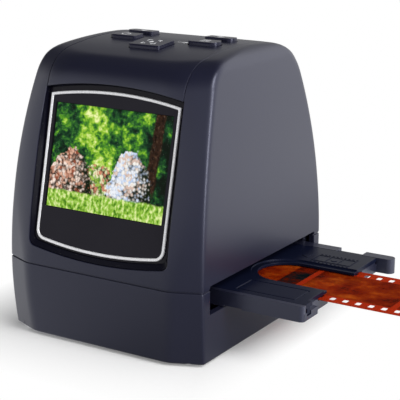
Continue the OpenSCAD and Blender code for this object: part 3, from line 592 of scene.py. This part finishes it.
case_post_x, case_post_y, post_r = 34.6, 41.0, 3
screw_head_r, screw_bore_r, thread_bore_r = 2.7, 1.55, 1.35
foot_x, foot_y, foot_r = 29, 34, 4.6
deck_post_x, deck_post_ys, deck_post_top = 25, (-26, 34), 15.5


def middled(half_x, half_y, radius):
    """An outline function for a rounded rectangle about the middle."""
    return rectangle((-half_x, -half_y), (half_x, half_y), radius)


def disc(radius):
    return middled(radius, radius, radius - 0.01)


for sx in (-1, 1):
    for sy in (-1, 1):
        x, y = sx * case_post_x, sy * case_post_y
        below = (x_axis, y_axis, -z_axis)
        cut(lower_shell, rod("post", post_r, (x, y, 1), (x, y, seam_z), 32), operation="UNION")
        cut(lower_shell, flared(
            "screw_recess", below, (x, y, 0), disc(screw_head_r),
            ((-1.6, 0), (-0.3, 0), (0, 0.25), (1, 1.25)),
        ))
        cut(lower_shell, rod("bore", screw_bore_r, (x, y, 1), (x, y, seam_z + 1), 24))
        cut(lower_shell, flared(
            "foot_seat", below, (sx * foot_x, sy * foot_y, 0), disc(foot_r),
            ((-1, 0), (-0.2, 0), (0, 0.2), (1, 1.2)),
        ))
        cut(upper_shell, sleeve("post", [
            [(x + r * math.cos(a), y + r * math.sin(a), z) for a in round_angles(32)]
            for z, r in ((seam_z, post_r), (seam_z + 10, post_r), (seam_z + 18, 1.8))
        ]), operation="UNION")
        cut(upper_shell, rod("bore", thread_bore_r, (x, y, seam_z - 1), (x, y, seam_z + 16), 24))
for x in (-deck_post_x, deck_post_x):
    for y in deck_post_ys:
        cut(lower_shell, rod("post", post_r, (x, y, 1), (x, y, deck_post_top), 32), operation="UNION")
cut(lower_shell, slot_cutter())

panel_back_y = 19.0
behind = screen_middle - out_of_face * (wall + 1)
before = screen_middle + out_of_face * 12
zone = [behind, before, before + up_face * 60]
zone += [Vector((0, panel_back_y, z)) for z in (110, 92)] + [behind + up_face * 30]
cut(
    upper_shell,
    sleeve("panel_zone", [[place + x_axis * x for place in zone] for x in (-recess_half_w, recess_half_w)]),
    recess_cutter(), slot_cutter(),
)
lip = ((-4, 0), (-0.45, 0), (-0.2, 0.07), (-0.05, 0.2), (0, 0.3), (1.5, 1.8))
upright = (x_axis, z_axis, y_axis)
tilted = (x_axis, Vector((0, -0.124, 0.992)), Vector((0, 0.992, 0.124)))
cut(
    upper_shell,
    flared("usb_opening", upright, (11, 45.6, 35.25), middled(4.05, 2.15, 0.5), lip),
    flared("jack_opening", upright, (22, 45.55, 36.3), disc(3.2), lip),
    flared("card_opening", tilted, (-27.9, 44.38, 49), middled(1.7, 13.3, 0.4), lip),
)


def moulded(name, colour, roughness, grain=0.35, depth=0.004, specular=0.5):
    """Moulded plastic: a fine spark-eroded grain, with slow changes of gloss and tone."""
    bluish = (0.78, 0.805, 1.0, 1)
    finish = Finish(name, Specular_IOR_Level=specular, Specular_Tint=bluish)
    slow = finish.noise(23, 3)
    fine = finish.noise(grain, 2)
    dark = tuple(0.88 * c for c in colour)
    light = tuple(1.12 * c for c in colour)
    finish.colour = finish.mix(0.75 * slow + 0.25 * fine, dark, light)
    finish.feed(Base_Color=finish.colour, Roughness=roughness - 0.03 + 0.04 * slow + 0.03 * fine)
    finish.bump(fine, depth)
    return finish


body_colour, body_roughness = (0.0075, 0.0080, 0.019), 0.32
housing_finish = moulded("housing_plastic", body_colour, body_roughness)


def dress(piece, finish, body, slot, *replaced):
    """Gives a finished piece its material and its body, and hides the nodes it stands for. The slot is not
    used.
    """
    piece.data.materials.clear()
    piece.data.materials.append(finish.material)
    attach(piece, body)
    if replaced:
        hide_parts(*replaced)


smooth(lower_shell)
dress(lower_shell, housing_finish, "housing", "housing", "lower_housing")
smooth(upper_shell)
dress(upper_shell, housing_finish, "housing", "housing", "upper_housing")

# ---------------------------------------------------------------------------------------------
# Top panel. A third moulding of the same plastic runs from the screen over the brow to the back
# of the keys. It carries the key board on four posts, and small white marks are printed on it.
# For each key: where its middle is, its width and depth, and which end is the rounder one.
keys = {
    "scan_key": (0, -11.8, 13, 11, 0),
    "power_key": (-17, -3, 11.5, 6.6, -1),
    "mode_key": (17, -3, 11.5, 6.6, 1),
    "back_key": (-17, 8, 11.5, 6.0, -1),
    "next_key": (17, 8, 11.5, 6.0, 1),
}


def key_outline(key):
    """The plan of a key: its outer end is rounder than its inner end."""
    middle_x, middle_y, width, depth, outer = key

    def outline(growth):
        points = []
        for sx, sy, start in quarters:
            radius = depth / 2 - 0.4 if outer == sx else 1.2
            x, y = middle_x + sx * (width / 2 - radius), middle_y + sy * (depth / 2 - radius)
            points += quarter_turn(x, y, radius + growth, start, 9)
        return points
    return outline


panel_gap = 0.2
panel_half_w = recess_half_w - panel_gap
edge = ((0, 0.3), (0.03, 0.15), (0.12, 0.04), (0.3, 0))
across = [(-panel_half_w + x, inset) for x, inset in edge]
across += [(x, 0) for x in np.linspace(-panel_half_w + 1.2, panel_half_w - 1.2, 40)]
across += [(-x, inset) for x, inset in across[3::-1]]
outer_x, outer_inset = (np.array(values) for values in zip(*across))
inner_x = np.linspace(panel_half_w, -panel_half_w, 12)
straight_up = math.pi / 2
along = [(axis_y, a, 0) for a in np.radians(np.linspace(172.6, 90, 60))]
along += [(y, straight_up, 0) for y in np.linspace(axis_y, panel_back_y - 0.6, 16)[1:]]
along += [(panel_back_y - panel_gap - y, straight_up, inset) for y, inset in edge[::-1]]
panel_rows = [
    np.concatenate((
        reach((outer_x, y, polar_z), (0, math.cos(a), math.sin(a)), np.maximum(outer_inset, inset)),
        reach((inner_x, y, polar_z), (0, math.cos(a), math.sin(a)), wall),
    ))
    for y, a, inset in along
]
panel = sleeve("panel", panel_rows)


def height_at(x, y, inset=0):
    """How high the surface lies over a place."""
    return float(reach((x, y, polar_z), (0, 0, 1), inset)[2])


panel_post_x, panel_post_z = 25.5, 93.5
for x in (-panel_post_x, panel_post_x):
    for y in (-21, 12):
        top = height_at(panel_post_x, y, 1)
        cut(panel, rod("post", 2, (x, y, panel_post_z), (x, y, top), 32), operation="UNION")
        cut(panel, rod("bore", 1, (x, y, panel_post_z - 1.5), (x, y, panel_post_z + 5), 16))
cut(panel, recess_cutter())
for key in keys.values():
    x, y, _, depth, _ = key
    front_z, back_z = height_at(x, y - depth / 2), height_at(x, y + depth / 2)
    slope = (back_z - front_z) / depth
    cut(panel, flared(
        "key_opening", (x_axis, Vector((0, 1, slope)), z_axis), (0, 0, (front_z + back_z) / 2 - y * slope),
        key_outline(key), ((-5, 0.25), (-0.35, 0.25), (-0.15, 0.32), (0.02, 0.5), (1.5, 2)),
    ))
smooth(panel)


def printed(finish, mark):
    """Prints a mark in white ink over the colour of a plastic."""
    white_ink = (0.75, 0.76, 0.78)
    finish.feed(Base_Color=finish.mix(mark, finish.colour, white_ink))


panel_finish = moulded("panel_plastic", body_colour, body_roughness)
x, y, z = panel_finish.xyz()
dashes = (abs(x + 1) < 4.2) & (abs(y + 4.4) < 0.55) & ((x + 1).wrapped(1.2) < 0.38)
pointer = (x > 8.2) & (x < 9.9) & (abs(y + 3) < (9.9 - x) * 0.6)
line = (x > 5.4) & (x < 8.3) & (abs(y + 3) < 0.22)
printed(panel_finish, (dashes | pointer | line) & (z > 99))
dress(panel, panel_finish, "housing", "housing", "top_panel")

# ---------------------------------------------------------------------------------------------
# Five keys. Each is moulded in black plastic, stands a little above the panel with rounded
# edges, and bears a printed white symbol.


def fair_copy(node, name, width, segments=3, degrees=30):
    """A copy of a node with its triangles merged into faces and its edges rounded."""
    bpy.ops.object.select_all(action="DESELECT")
    piece = nodes[node].copy()
    piece.data = nodes[node].data.copy()
    piece.name = name
    piece.parent = None
    for label in [k for k in piece.keys() if k.startswith("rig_")]:
        del piece[label]
    bpy.context.scene.collection.objects.link(piece)
    only(piece)
    if piece.data.has_custom_normals:
        bpy.ops.mesh.customdata_custom_splitnormals_clear()
    bpy.ops.object.mode_set(mode="EDIT")
    bpy.ops.mesh.select_all(action="SELECT")
    bpy.ops.mesh.remove_doubles(threshold=same_place)
    bpy.ops.mesh.dissolve_limited(angle_limit=math.radians(0.8))
    bpy.ops.object.mode_set(mode="OBJECT")
    if width:
        modify(
            piece, "BEVEL", width=width * mm, segments=segments, limit_method="ANGLE",
            angle_limit=math.radians(degrees), miter_outer="MITER_ARC",
        )
    smooth(piece)
    return piece


for node, (x, y, *_) in keys.items():
    cap = fair_copy(node, node + "_cap", 0.6, 4)
    finish = moulded(node + "_plastic", (0.009, 0.009, 0.020), 0.27, grain=0.3, depth=0.002)
    place_x, place_y, place_z = finish.xyz()
    dx, dy = place_x - x, place_y - y
    from_middle = (dx * dx + dy * dy).root()
    if node == "scan_key":
        square = abs(dx) | abs(dy)
        corners = (square > 2.4) & (square < 2.9) & (abs(dx) > 1.1) & (abs(dy) > 1.1)
        mark = corners | (from_middle < 0.9)
    elif node == "power_key":
        circle = (from_middle > 1.35) & (from_middle < 1.75) & (1 - ((abs(dx) < 0.55) & (dy > 0)))
        mark = circle | ((abs(dx) < 0.2) & (abs(dy - 1.15) < 0.85))
    elif node == "mode_key":
        lines = (dy + 0.55).wrapped(1.1) > 0.35
        mark = lines & (abs(dy) < 1.65) & (abs(dx) < 1.8)
    else:
        pointing = dx if node == "back_key" else -dx
        mark = (abs(dy) < (pointing + 1.3) * 0.62) & (pointing < 1.3)
    printed(finish, mark & (place_z > 100))
    dress(cap, finish, node.replace("_key", "_button"), "key_plastic", node)

# ---------------------------------------------------------------------------------------------
# Screen. A black surround slopes down from the leaning face to a gloss black bezel with a bright
# trim frame pressed onto it; the surround's near-black, barely reflecting colour is painted shade
# of the recess wall. Inside the frame a window, printed black from behind, lies over the lit display.


def lacquered(name, colour, roughness, **constants):
    """A gloss surface with faint waves and specks of dust."""
    finish = Finish(name, **constants)
    waves = finish.noise(9, 2)
    dust = finish.noise(0.7, 1) > 0.72
    finish.feed(
        Base_Color=finish.mix(dust * 0.06, colour, (0.3, 0.3, 0.3)),
        Roughness=roughness + 0.04 * waves + 0.1 * dust,
    )
    finish.bump(waves, 0.01)
    return finish


bezel = fair_copy("screen_bezel", "bezel", 0.15, 2)
bezel_finish = lacquered("bezel_gloss", (0.009, 0.008, 0.013), 0.14, Specular_IOR_Level=0.10)
dress(bezel, bezel_finish, "housing", "bezel_black", "screen_bezel")

profile = [recess_ring(*sizes) for sizes in (
    (0.72, 1.92, 0.05, -1.17, False), (0.72, 1.92, 0.05, -0.45, True),
    (0.6, 1.75, 0.0, -0.38, True), (-0.32, 0.1, -0.25, -0.72, False),
    (-0.4, -0.1, -0.3, -0.82, False), (-0.4, -0.1, -0.3, -1.17, False),
)]
surround = sleeve("screen_surround", profile + profile[:1], ends="open")
smooth(surround)
# Painted shade: the surround is darker and less reflective than the bezel, so the recess wall looks shaded.
painted_shade_surround = lacquered("surround_black_painted_shade", (0.0035, 0.0035, 0.008), 0.2, Specular_IOR_Level=0.05)
dress(surround, painted_shade_surround, "housing", "bezel_black")

trim = fair_copy("bezel_trim", "bright_trim", 0.34, 4)
silver = Finish("bright_trim", Metallic=0.25, Specular_IOR_Level=0.8)
brushed = silver.noise(0.25, 2)
cloudy = silver.noise(12, 2)
silver.feed(
    Base_Color=silver.mix(0.5 * brushed + 0.5 * cloudy, (0.58, 0.58, 0.60), (0.80, 0.80, 0.83)),
    Roughness=0.22 + 0.1 * brushed,
)
dress(trim, silver, "housing", "trim_chrome", "bezel_trim")


def screen_place(finish):
    """How far across and how far up from the middle of the recess a place lies."""
    x, y, z = finish.xyz()
    up = (y - screen_middle[1]) * math.sin(lean) + (z - screen_middle[2]) * math.cos(lean)
    return x, up


picture_up, picture_w, picture_h = 1.0, 49.0, 36.7
clear_edge = 0.15
window = fair_copy("screen_window", "window", 0.12, 2)
glass = Finish("window_glass", Specular_IOR_Level=0.08)
x, up = screen_place(glass)
clear = abs(x) < picture_w / 2 + clear_edge
clear = clear & (abs(up - picture_up) < picture_h / 2 + clear_edge)
smears = glass.noise(14, 3)
glass.feed(
    Base_Color=glass.mix(smears, (0.009, 0.008, 0.013), (0.014, 0.013, 0.019)),
    Roughness=0.05 + 0.06 * smears,
    Alpha=1 - 0.95 * clear,
)
dress(window, glass, "housing", "window_clear", "screen_window")

# The display shows a garden: trees with the sun in them, a trunk at the right, three flowering
# bushes and a lawn.
picture = Finish(
    "picture", Base_Color=(0.005, 0.005, 0.005, 1), Specular_IOR_Level=0.0, Emission_Strength=1.1
)
x, up = screen_place(picture)
u = x / picture_w + 0.5
v = (up - picture_up) / picture_h + 0.5
flat_place = picture.vector(u * 1.335, v, 0.0)


def moved(shift):
    """A place in the picture, moved so that two patterns don't match."""
    inputs = {0: flat_place, 1: (shift, 0.7 * shift, shift)}
    return picture.add("ShaderNodeVectorMath", {"operation": "ADD"}, inputs)


def patches(scale, detail, shift=0.0):
    """Soft patches, so many of them over the picture's height."""
    inputs = {"Vector": moved(shift), "Scale": scale, "Detail": detail, "Roughness": 0.65}
    return picture.add("ShaderNodeTexNoise", {}, inputs)


def flowers(output):
    """The heads of the flowers, as cells: how far from a middle, or a colour for each."""
    return picture.add("ShaderNodeTexVoronoi", {}, {"Vector": moved(2.0), "Scale": 34}, output=output)


sun = 1 - 1.9 * abs(u - 0.42) - 0.7 * abs(v - 0.78)
light = 1.5 * patches(3.4, 2) + 1.2 * patches(20, 5, 3.0) + 0.34 * sun - 0.98
painted = picture.ramp(
    light,
    (0.20, (0.004, 0.008, 0.004)), (0.36, (0.005, 0.032, 0.012)), (0.50, (0.022, 0.115, 0.022)),
    (0.62, (0.085, 0.30, 0.018)), (0.76, (0.36, 0.62, 0.04)), (0.94, (0.88, 0.94, 0.42)),
)
trunk_middle = 0.87 + 0.05 * (v - 0.5) + 0.03 * (patches(5, 2, 6.0) - 0.5)
trunk = picture.step(abs(u - trunk_middle), 0.05, 0.035) * picture.step(v, 0.2, 0.3)
bark = picture.ramp(
    patches(30, 4, 8.0),
    (0.35, (0.003, 0.002, 0.001)), (0.6, (0.045, 0.020, 0.010)), (0.7, (0.16, 0.09, 0.05)),
)
painted = picture.mix(trunk, painted, bark)
ragged = patches(9, 4, 11.0)
leaf_shadow = (0.006, 0.012, 0.003)
for middle_u, middle_v, half_u, half_v, *petals in (
    (0.43, 0.14, 0.17, 0.33,
     (0.40, 0.60, 0.09), (0.10, 0.24, 0.02), (0.86, 0.88, 0.55), (0.62, 0.24, 0.14)),
    (0.18, 0.17, 0.20, 0.40,
     (0.30, 0.08, 0.04), (0.83, 0.50, 0.36), (0.04, 0.015, 0.01), (0.93, 0.76, 0.66)),
    (0.69, 0.19, 0.19, 0.44,
     (0.86, 0.89, 0.95), (0.50, 0.62, 0.85), (0.95, 0.92, 0.86), (0.70, 0.52, 0.44)),
):
    du, dv = (u - middle_u) / half_u, (v - middle_v) / half_v
    bulk = 1 - du * du - dv * dv + 1.2 * (ragged - 0.5)
    shade = 0.30 * bulk + 0.45 * dv - 0.35 * du - 0.9 * flowers("Distance") + 1.3 * ragged
    chance = picture.add("ShaderNodeSeparateColor", {}, {0: flowers("Color")})
    blossom = picture.ramp(
        0.5 * chance + patches(7, 2, 5.0) - 0.25, *zip((0.25, 0.42, 0.55, 0.7), petals)
    )
    bush = picture.mix(picture.step(shade, 0.0, 0.75), leaf_shadow, blossom)
    painted = picture.mix(picture.step(bulk, 0.0, 0.08), painted, bush)
blades = {"Vector": picture.vector(u * 46, v * 22, 0.0), "Scale": 1.0, "Detail": 4.0}
grass = picture.add("ShaderNodeTexNoise", {}, blades) + 0.5 * (patches(5, 2, 21.0) - 0.5)
lawn = picture.ramp(
    grass, (0.34, (0.06, 0.20, 0.01)), (0.5, (0.30, 0.56, 0.05)), (0.66, (0.78, 0.88, 0.38))
)
lawn_edge = 0.17 + 0.05 * (patches(9, 2, 17.0) - 0.5)
painted = picture.mix(picture.step(lawn_edge - v, -0.012, 0.015), painted, lawn)
lit = (abs(u - 0.5) < 0.5) & (abs(v - 0.5) < 0.5)
picture.feed(Emission_Color=picture.mix(lit, (0, 0, 0), painted))
nodes["lcd_panel"].material_slots[0].material = picture.material

# ---------------------------------------------------------------------------------------------
# Film tray and gate. The tray slides through both sides on a deck; its gate is hinged along the
# back rail on two steel pins and snaps shut at the front. Both are moulded in blue-black plastic,
# with a sign of a film strip raised on the gate. The plastic comes in two copies: a darker one with
# little reflection on the gate and its sign, as painted shade on the top, and a lighter, glossier
# one on the tray, as painted light on its front rail.
# Painted light and shade: the tray's copy is lighter and glossier, the gate's darker with little
# reflection.
tray_painted_light = moulded("tray_plastic", (0.010, 0.011, 0.024), 0.32, grain=0.3, depth=0.003, specular=1.0)
tray = fair_copy("film_tray", "tray", 0.3)
dress(tray, tray_painted_light, "tray", "tray_plastic", "film_tray")
gate = fair_copy("film_gate", "gate", 0.32, 4)
gate_painted_shade = moulded("gate_plastic_painted_shade", (0.004, 0.0055, 0.016), 0.28, grain=0.3, depth=0.003, specular=0.10)
dress(gate, gate_painted_shade, "tray", "tray_plastic", "film_gate")


def bar(x0, y0, x1, y1):
    """The outline of a bar between two corners."""
    return [(x0, y0), (x1, y0), (x1, y1), (x0, y1)]


# The sign: an arrow, and a strip of three pictures between two rows of holes, a sun in the middle.
gate_top, mark_height, mark_draft = 23.5, 0.16, 0.06
half_stroke, sign_y, picture_edge = 0.2, 21.5, 3.3
frame_lines = (50.5, 55.5, 60.5, 65.5)
outlines = [[(45.0, sign_y), (48.2, sign_y - 2.3), (48.2, sign_y + 2.3)]]
outlines += [
    bar(x - half_stroke, sign_y - picture_edge, x + half_stroke, sign_y + picture_edge)
    for x in frame_lines
]
outlines += [
    bar(frame_lines[0] + half_stroke, y - half_stroke, frame_lines[-1] - half_stroke, y + half_stroke)
    for y in (sign_y - picture_edge, sign_y + picture_edge)
]
outlines += [
    bar(50.6 + 1.6 * hole, y - 0.3, 51.3 + 1.6 * hole, y + 0.3)
    for hole in range(10) for y in (sign_y - 4.6, sign_y + 4.6)
]
outlines.append([(58.0 + 1.2 * math.cos(a), sign_y + 1.2 * math.sin(a)) for a in round_angles(24)])
marks = []
for outline in outlines:
    middle_x, middle_y = np.mean(outline, axis=0)
    rings = []
    for rise, draft in ((-0.05, 0), (0.6 * mark_height, 0), (mark_height, mark_draft)):
        ring = []
        for x, y in outline:
            offset = Vector((x - middle_x, y - middle_y))
            offset *= max(0.0, 1 - draft / max(offset.length, 0.01))
            ring.append((middle_x + offset.x, middle_y + offset.y, gate_top + rise))
        rings.append(ring)
    marks.append(sleeve("gate_marks", rings))
gate_marks = marks[0]
only(gate_marks)
for mark in marks[1:]:
    mark.select_set(True)
bpy.ops.object.join()
smooth(gate_marks)
dress(gate_marks, gate_painted_shade, "tray", "tray_plastic")

steel = Finish("spring_steel", Metallic=1.0)
turned = steel.noise(0.4, 3, stretch=(0.05, 1, 1))
steel.feed(
    Base_Color=steel.mix(turned, (0.42, 0.42, 0.44), (0.62, 0.62, 0.63)),
    Roughness=0.2 + 0.2 * turned,
)
for node in ("hinge_pins", "detent_spring"):
    nodes[node].material_slots[0].material = steel.material

# ---------------------------------------------------------------------------------------------
# Film. A strip of colour negative, four pictures long, punched along both edges: a clear base
# with an orange mask, the pictures darker on it, gloss on both sides.
film_left, film_w, film_y, film_z, film_t = -19.0, 35.0, 2.5, 21.35, 0.2
picture_pitch, picture_half_w, picture_half_h = 38.0, 18.0, 12.0
film_right = film_left + 4 * picture_pitch
hole_pitch, hole_row, hole_count = 4.75, 14.1, 32
strip = sleeve("strip", [
    [(x, y, z) for x, y in bar(film_left, film_y - film_w / 2, film_right, film_y + film_w / 2)]
    for z in (film_z, film_z + film_t)
])
punches = []
for y in (film_y - hole_row, film_y + hole_row):
    punch = flared(
        "punch", (x_axis, y_axis, z_axis), (film_left + hole_pitch / 2, y, film_z),
        middled(0.99, 1.4, 0.5), ((-1, 0), (1, 0)),
    )
    modify(
        punch, "ARRAY", count=hole_count, use_relative_offset=False, use_constant_offset=True,
        constant_offset_displace=(hole_pitch * mm, 0, 0),
    )
    punches.append(punch)
cut(strip, *punches)
smooth(strip)
negative = Finish("film_negative", Transmission_Weight=0.45, IOR=1.03, Specular_IOR_Level=0.03)
x, y, _ = negative.xyz()
number = ((x - film_left) / picture_pitch).floor()
in_x = x - picture_pitch * number
exposed = negative.step(picture_half_w - abs(in_x), -0.1, 0.25)
exposed = exposed * negative.step(picture_half_h - abs(y - film_y), -0.1, 0.25)
spot = negative.vector(x, y, number * 7.3)
shapes, strokes = (
    negative.add("ShaderNodeTexNoise", {}, {"Vector": spot, "Detail": 3.0, **inputs})
    for inputs in ({"Scale": 0.09, "Roughness": 0.55}, {"Scale": 0.35, "Distortion": 0.8})
)
deep = (abs(number - 1) < 0.5) * negative.step(in_x, 10, 11)
image = negative.ramp(
    0.65 * shapes + 0.3 * strokes - 0.01 + 0.22 * deep,
    (0.30, (0.46, 0.080, 0.006)), (0.42, (0.28, 0.030, 0.003)), (0.52, (0.20, 0.013, 0.002)),
    (0.62, (0.075, 0.008, 0.003)), (0.68, (0.006, 0.010, 0.012)), (0.8, (0.001, 0.004, 0.006)),
)
mask = negative.mix(negative.noise(6, 2), (0.38, 0.026, 0.005), (0.50, 0.038, 0.008))
negative.feed(
    Base_Color=negative.mix(exposed, mask, image),
    Roughness=0.10 + 0.08 * negative.noise(3, 2),
)
dress(strip, negative, "film", "film_base", "film_strip")

# ---------------------------------------------------------------------------------------------
# Sockets in the back: a data and power socket and a card socket of folded steel, and a black
# moulded television jack, each on its board behind an opening with rounded edges.
folded = Finish("folded_steel", Metallic=1.0)
rolled = folded.noise(0.5, 3, stretch=(1, 0.08, 1))
stain = folded.noise(6, 3)
folded.feed(
    Base_Color=folded.mix(stain, (0.45, 0.46, 0.48), (0.66, 0.67, 0.68)),
    Roughness=0.25 + 0.15 * rolled + 0.08 * stain,
)
folded.bump(rolled, 0.01)
for node, width in (("usb_socket", 0.12), ("card_socket", 0.15)):
    dress(fair_copy(node, node + "_shell", width, 2), folded, "housing", "sheet_steel", node)
jack_finish = moulded("jack_plastic", (0.012, 0.012, 0.013), 0.4)
dress(fair_copy("av_jack", "jack", 0.25), jack_finish, "housing", "switch_plastic", "av_jack")

# ---------------------------------------------------------------------------------------------
# Feet and screws. Four rubber discs are glued into the underside, and cross-head screws hold the
# shells, the deck, the optics and the boards.
rubber = Finish("foot_rubber", Specular_IOR_Level=0.25)
pores = rubber.noise(0.5, 4)
scuffs = rubber.noise(4, 3)
rubber.feed(
    Base_Color=rubber.mix(scuffs, (0.012, 0.012, 0.012), (0.035, 0.034, 0.033)),
    Roughness=0.75 + 0.15 * pores,
)
rubber.bump(pores, 0.03)
dress(fair_copy("rubber_feet", "feet", 0.35), rubber, "housing", "foot_rubber", "rubber_feet")
zinc = Finish("screw_zinc", Metallic=1.0)
plated = zinc.noise(1.1, 3)
zinc.feed(
    Base_Color=zinc.mix(plated, (0.38, 0.39, 0.41), (0.62, 0.63, 0.66)),
    Roughness=0.25 + 0.2 * plated,
)
zinc.bump(zinc.noise(0.3, 2), 0.01)
for node in ("housing_screws", "deck_screws", "optics_screws", "board_screws"):
    dress(fair_copy(node, node + "_cut", 0.12, 2), zinc, "housing", "screw_steel", node)

# ---------------------------------------------------------------------------------------------
# Inside. Circuit boards in green solder mask with tinned pads, cables, the black optics column
# with its lens and sensor, and the white light box with its diodes. They keep their own shapes.


def coat(finish, *names):
    """Gives nodes that keep their own shape a material."""
    for name in names:
        for place in nodes[name].material_slots:
            place.material = finish.material


board = Finish("solder_mask", Specular_IOR_Level=0.5)
x, y, z = board.xyz()
weave = board.noise(0.6, 2)
blocks = board.noise(9, 0)
grid = 2.54
traces = ((x + y).wrapped(grid / 2) < 0.12) | ((x - y + z).wrapped(grid) < 0.12)
pads = (x.wrapped(grid) < 0.35) & (y.wrapped(grid) < 0.35) & (z.wrapped(grid) < 0.6) & (blocks < 0.46)
green = board.mix(weave, (0.010, 0.085, 0.035), (0.018, 0.12, 0.05))
green = board.mix((traces & (blocks > 0.5)) * 0.8, green, (0.03, 0.20, 0.08))
board.feed(
    Base_Color=board.mix(pads, green, (0.62, 0.58, 0.45)), Metallic=pads * 0.9,
    Roughness=0.35 + 0.1 * weave - 0.1 * pads,
)
coat(board, "display_board", "main_board", "io_board", "key_board", "sensor_board")

shield = Finish("backlight_steel", Metallic=1.0)
lines = shield.noise(0.4, 3, stretch=(0.04, 1, 1))
shield.feed(
    Base_Color=shield.mix(lines, (0.5, 0.51, 0.53), (0.68, 0.69, 0.7)),
    Roughness=0.3 + 0.15 * lines,
)
coat(shield, "lcd_backlight")

amber = Finish("flat_cable", Specular_IOR_Level=0.6)
x, _, _ = amber.xyz()
tracks = x.wrapped(0.8) < 0.18
amber.feed(
    Base_Color=amber.mix(tracks, (0.42, 0.17, 0.03), (0.58, 0.25, 0.06)),
    Roughness=0.25 + 0.1 * amber.noise(2, 2),
)
coat(amber, "lcd_flex")
pale = Finish("ribbon", Specular_IOR_Level=0.4)
_, y, z = pale.xyz()
wires = (z + y).wrapped(1.0) < 0.16
pale.feed(
    Base_Color=pale.mix(wires, (0.72, 0.72, 0.69), (0.45, 0.46, 0.47)),
    Roughness=0.45 + 0.1 * pale.noise(2, 2),
)
coat(pale, "display_ribbon", "key_ribbon")

coat(moulded("switch_plastic", (0.02, 0.02, 0.02), 0.45), "key_switches")
optics_finish = moulded("optics_plastic", (0.009, 0.009, 0.010), 0.55, grain=0.5, depth=0.01)
coat(optics_finish, "optics_frame", "film_deck")
coat(moulded("lens_black", (0.008, 0.008, 0.009), 0.35, grain=0.2), "lens_barrel", "aperture_ring")
coat(moulded("box_white", (0.72, 0.72, 0.70), 0.5), "light_box")
coat(moulded("lamp_board", (0.80, 0.80, 0.78), 0.4, grain=0.8), "led_board")

milk = Finish("diffuser_milk", Specular_IOR_Level=0.4)
cloud = milk.noise(4, 3)
milk.feed(Base_Color=milk.mix(cloud, (0.84, 0.85, 0.86), (0.92, 0.92, 0.93)), Roughness=0.55 + 0.1 * cloud)
coat(milk, "diffuser")
diode = Finish("diode", Specular_IOR_Level=0.5)
x, y, _ = diode.xyz()
dx, dy = x.wrapped(12), (y - 2.5).wrapped(9)
phosphor = (dx * dx + dy * dy) < 1.3
diode.feed(
    Base_Color=diode.mix(phosphor, (0.88, 0.88, 0.86), (0.85, 0.70, 0.12)),
    Roughness=0.4 - 0.2 * phosphor,
)
coat(diode, "leds")
chip = Finish("sensor_chip", Specular_IOR_Level=0.6)
x, y, _ = chip.xyz()
active = (abs(x) < 4.2) & (abs(y - 2.5) < 3.2)
shimmer = chip.mix(chip.noise(1.5, 2), (0.04, 0.02, 0.07), (0.02, 0.06, 0.06))
chip.feed(
    Base_Color=chip.mix(active, (0.05, 0.05, 0.055), shimmer),
    Roughness=0.5 - 0.42 * active,
)
coat(chip, "image_sensor")
lens = Finish("optical_glass", Roughness=0.03, IOR=1.52, Transmission_Weight=0.95)
coating = lens.noise(5, 1)
lens.feed(Base_Color=lens.mix(coating, (0.80, 0.90, 0.95), (0.90, 0.86, 0.95)))
coat(lens, "lens_glasses")
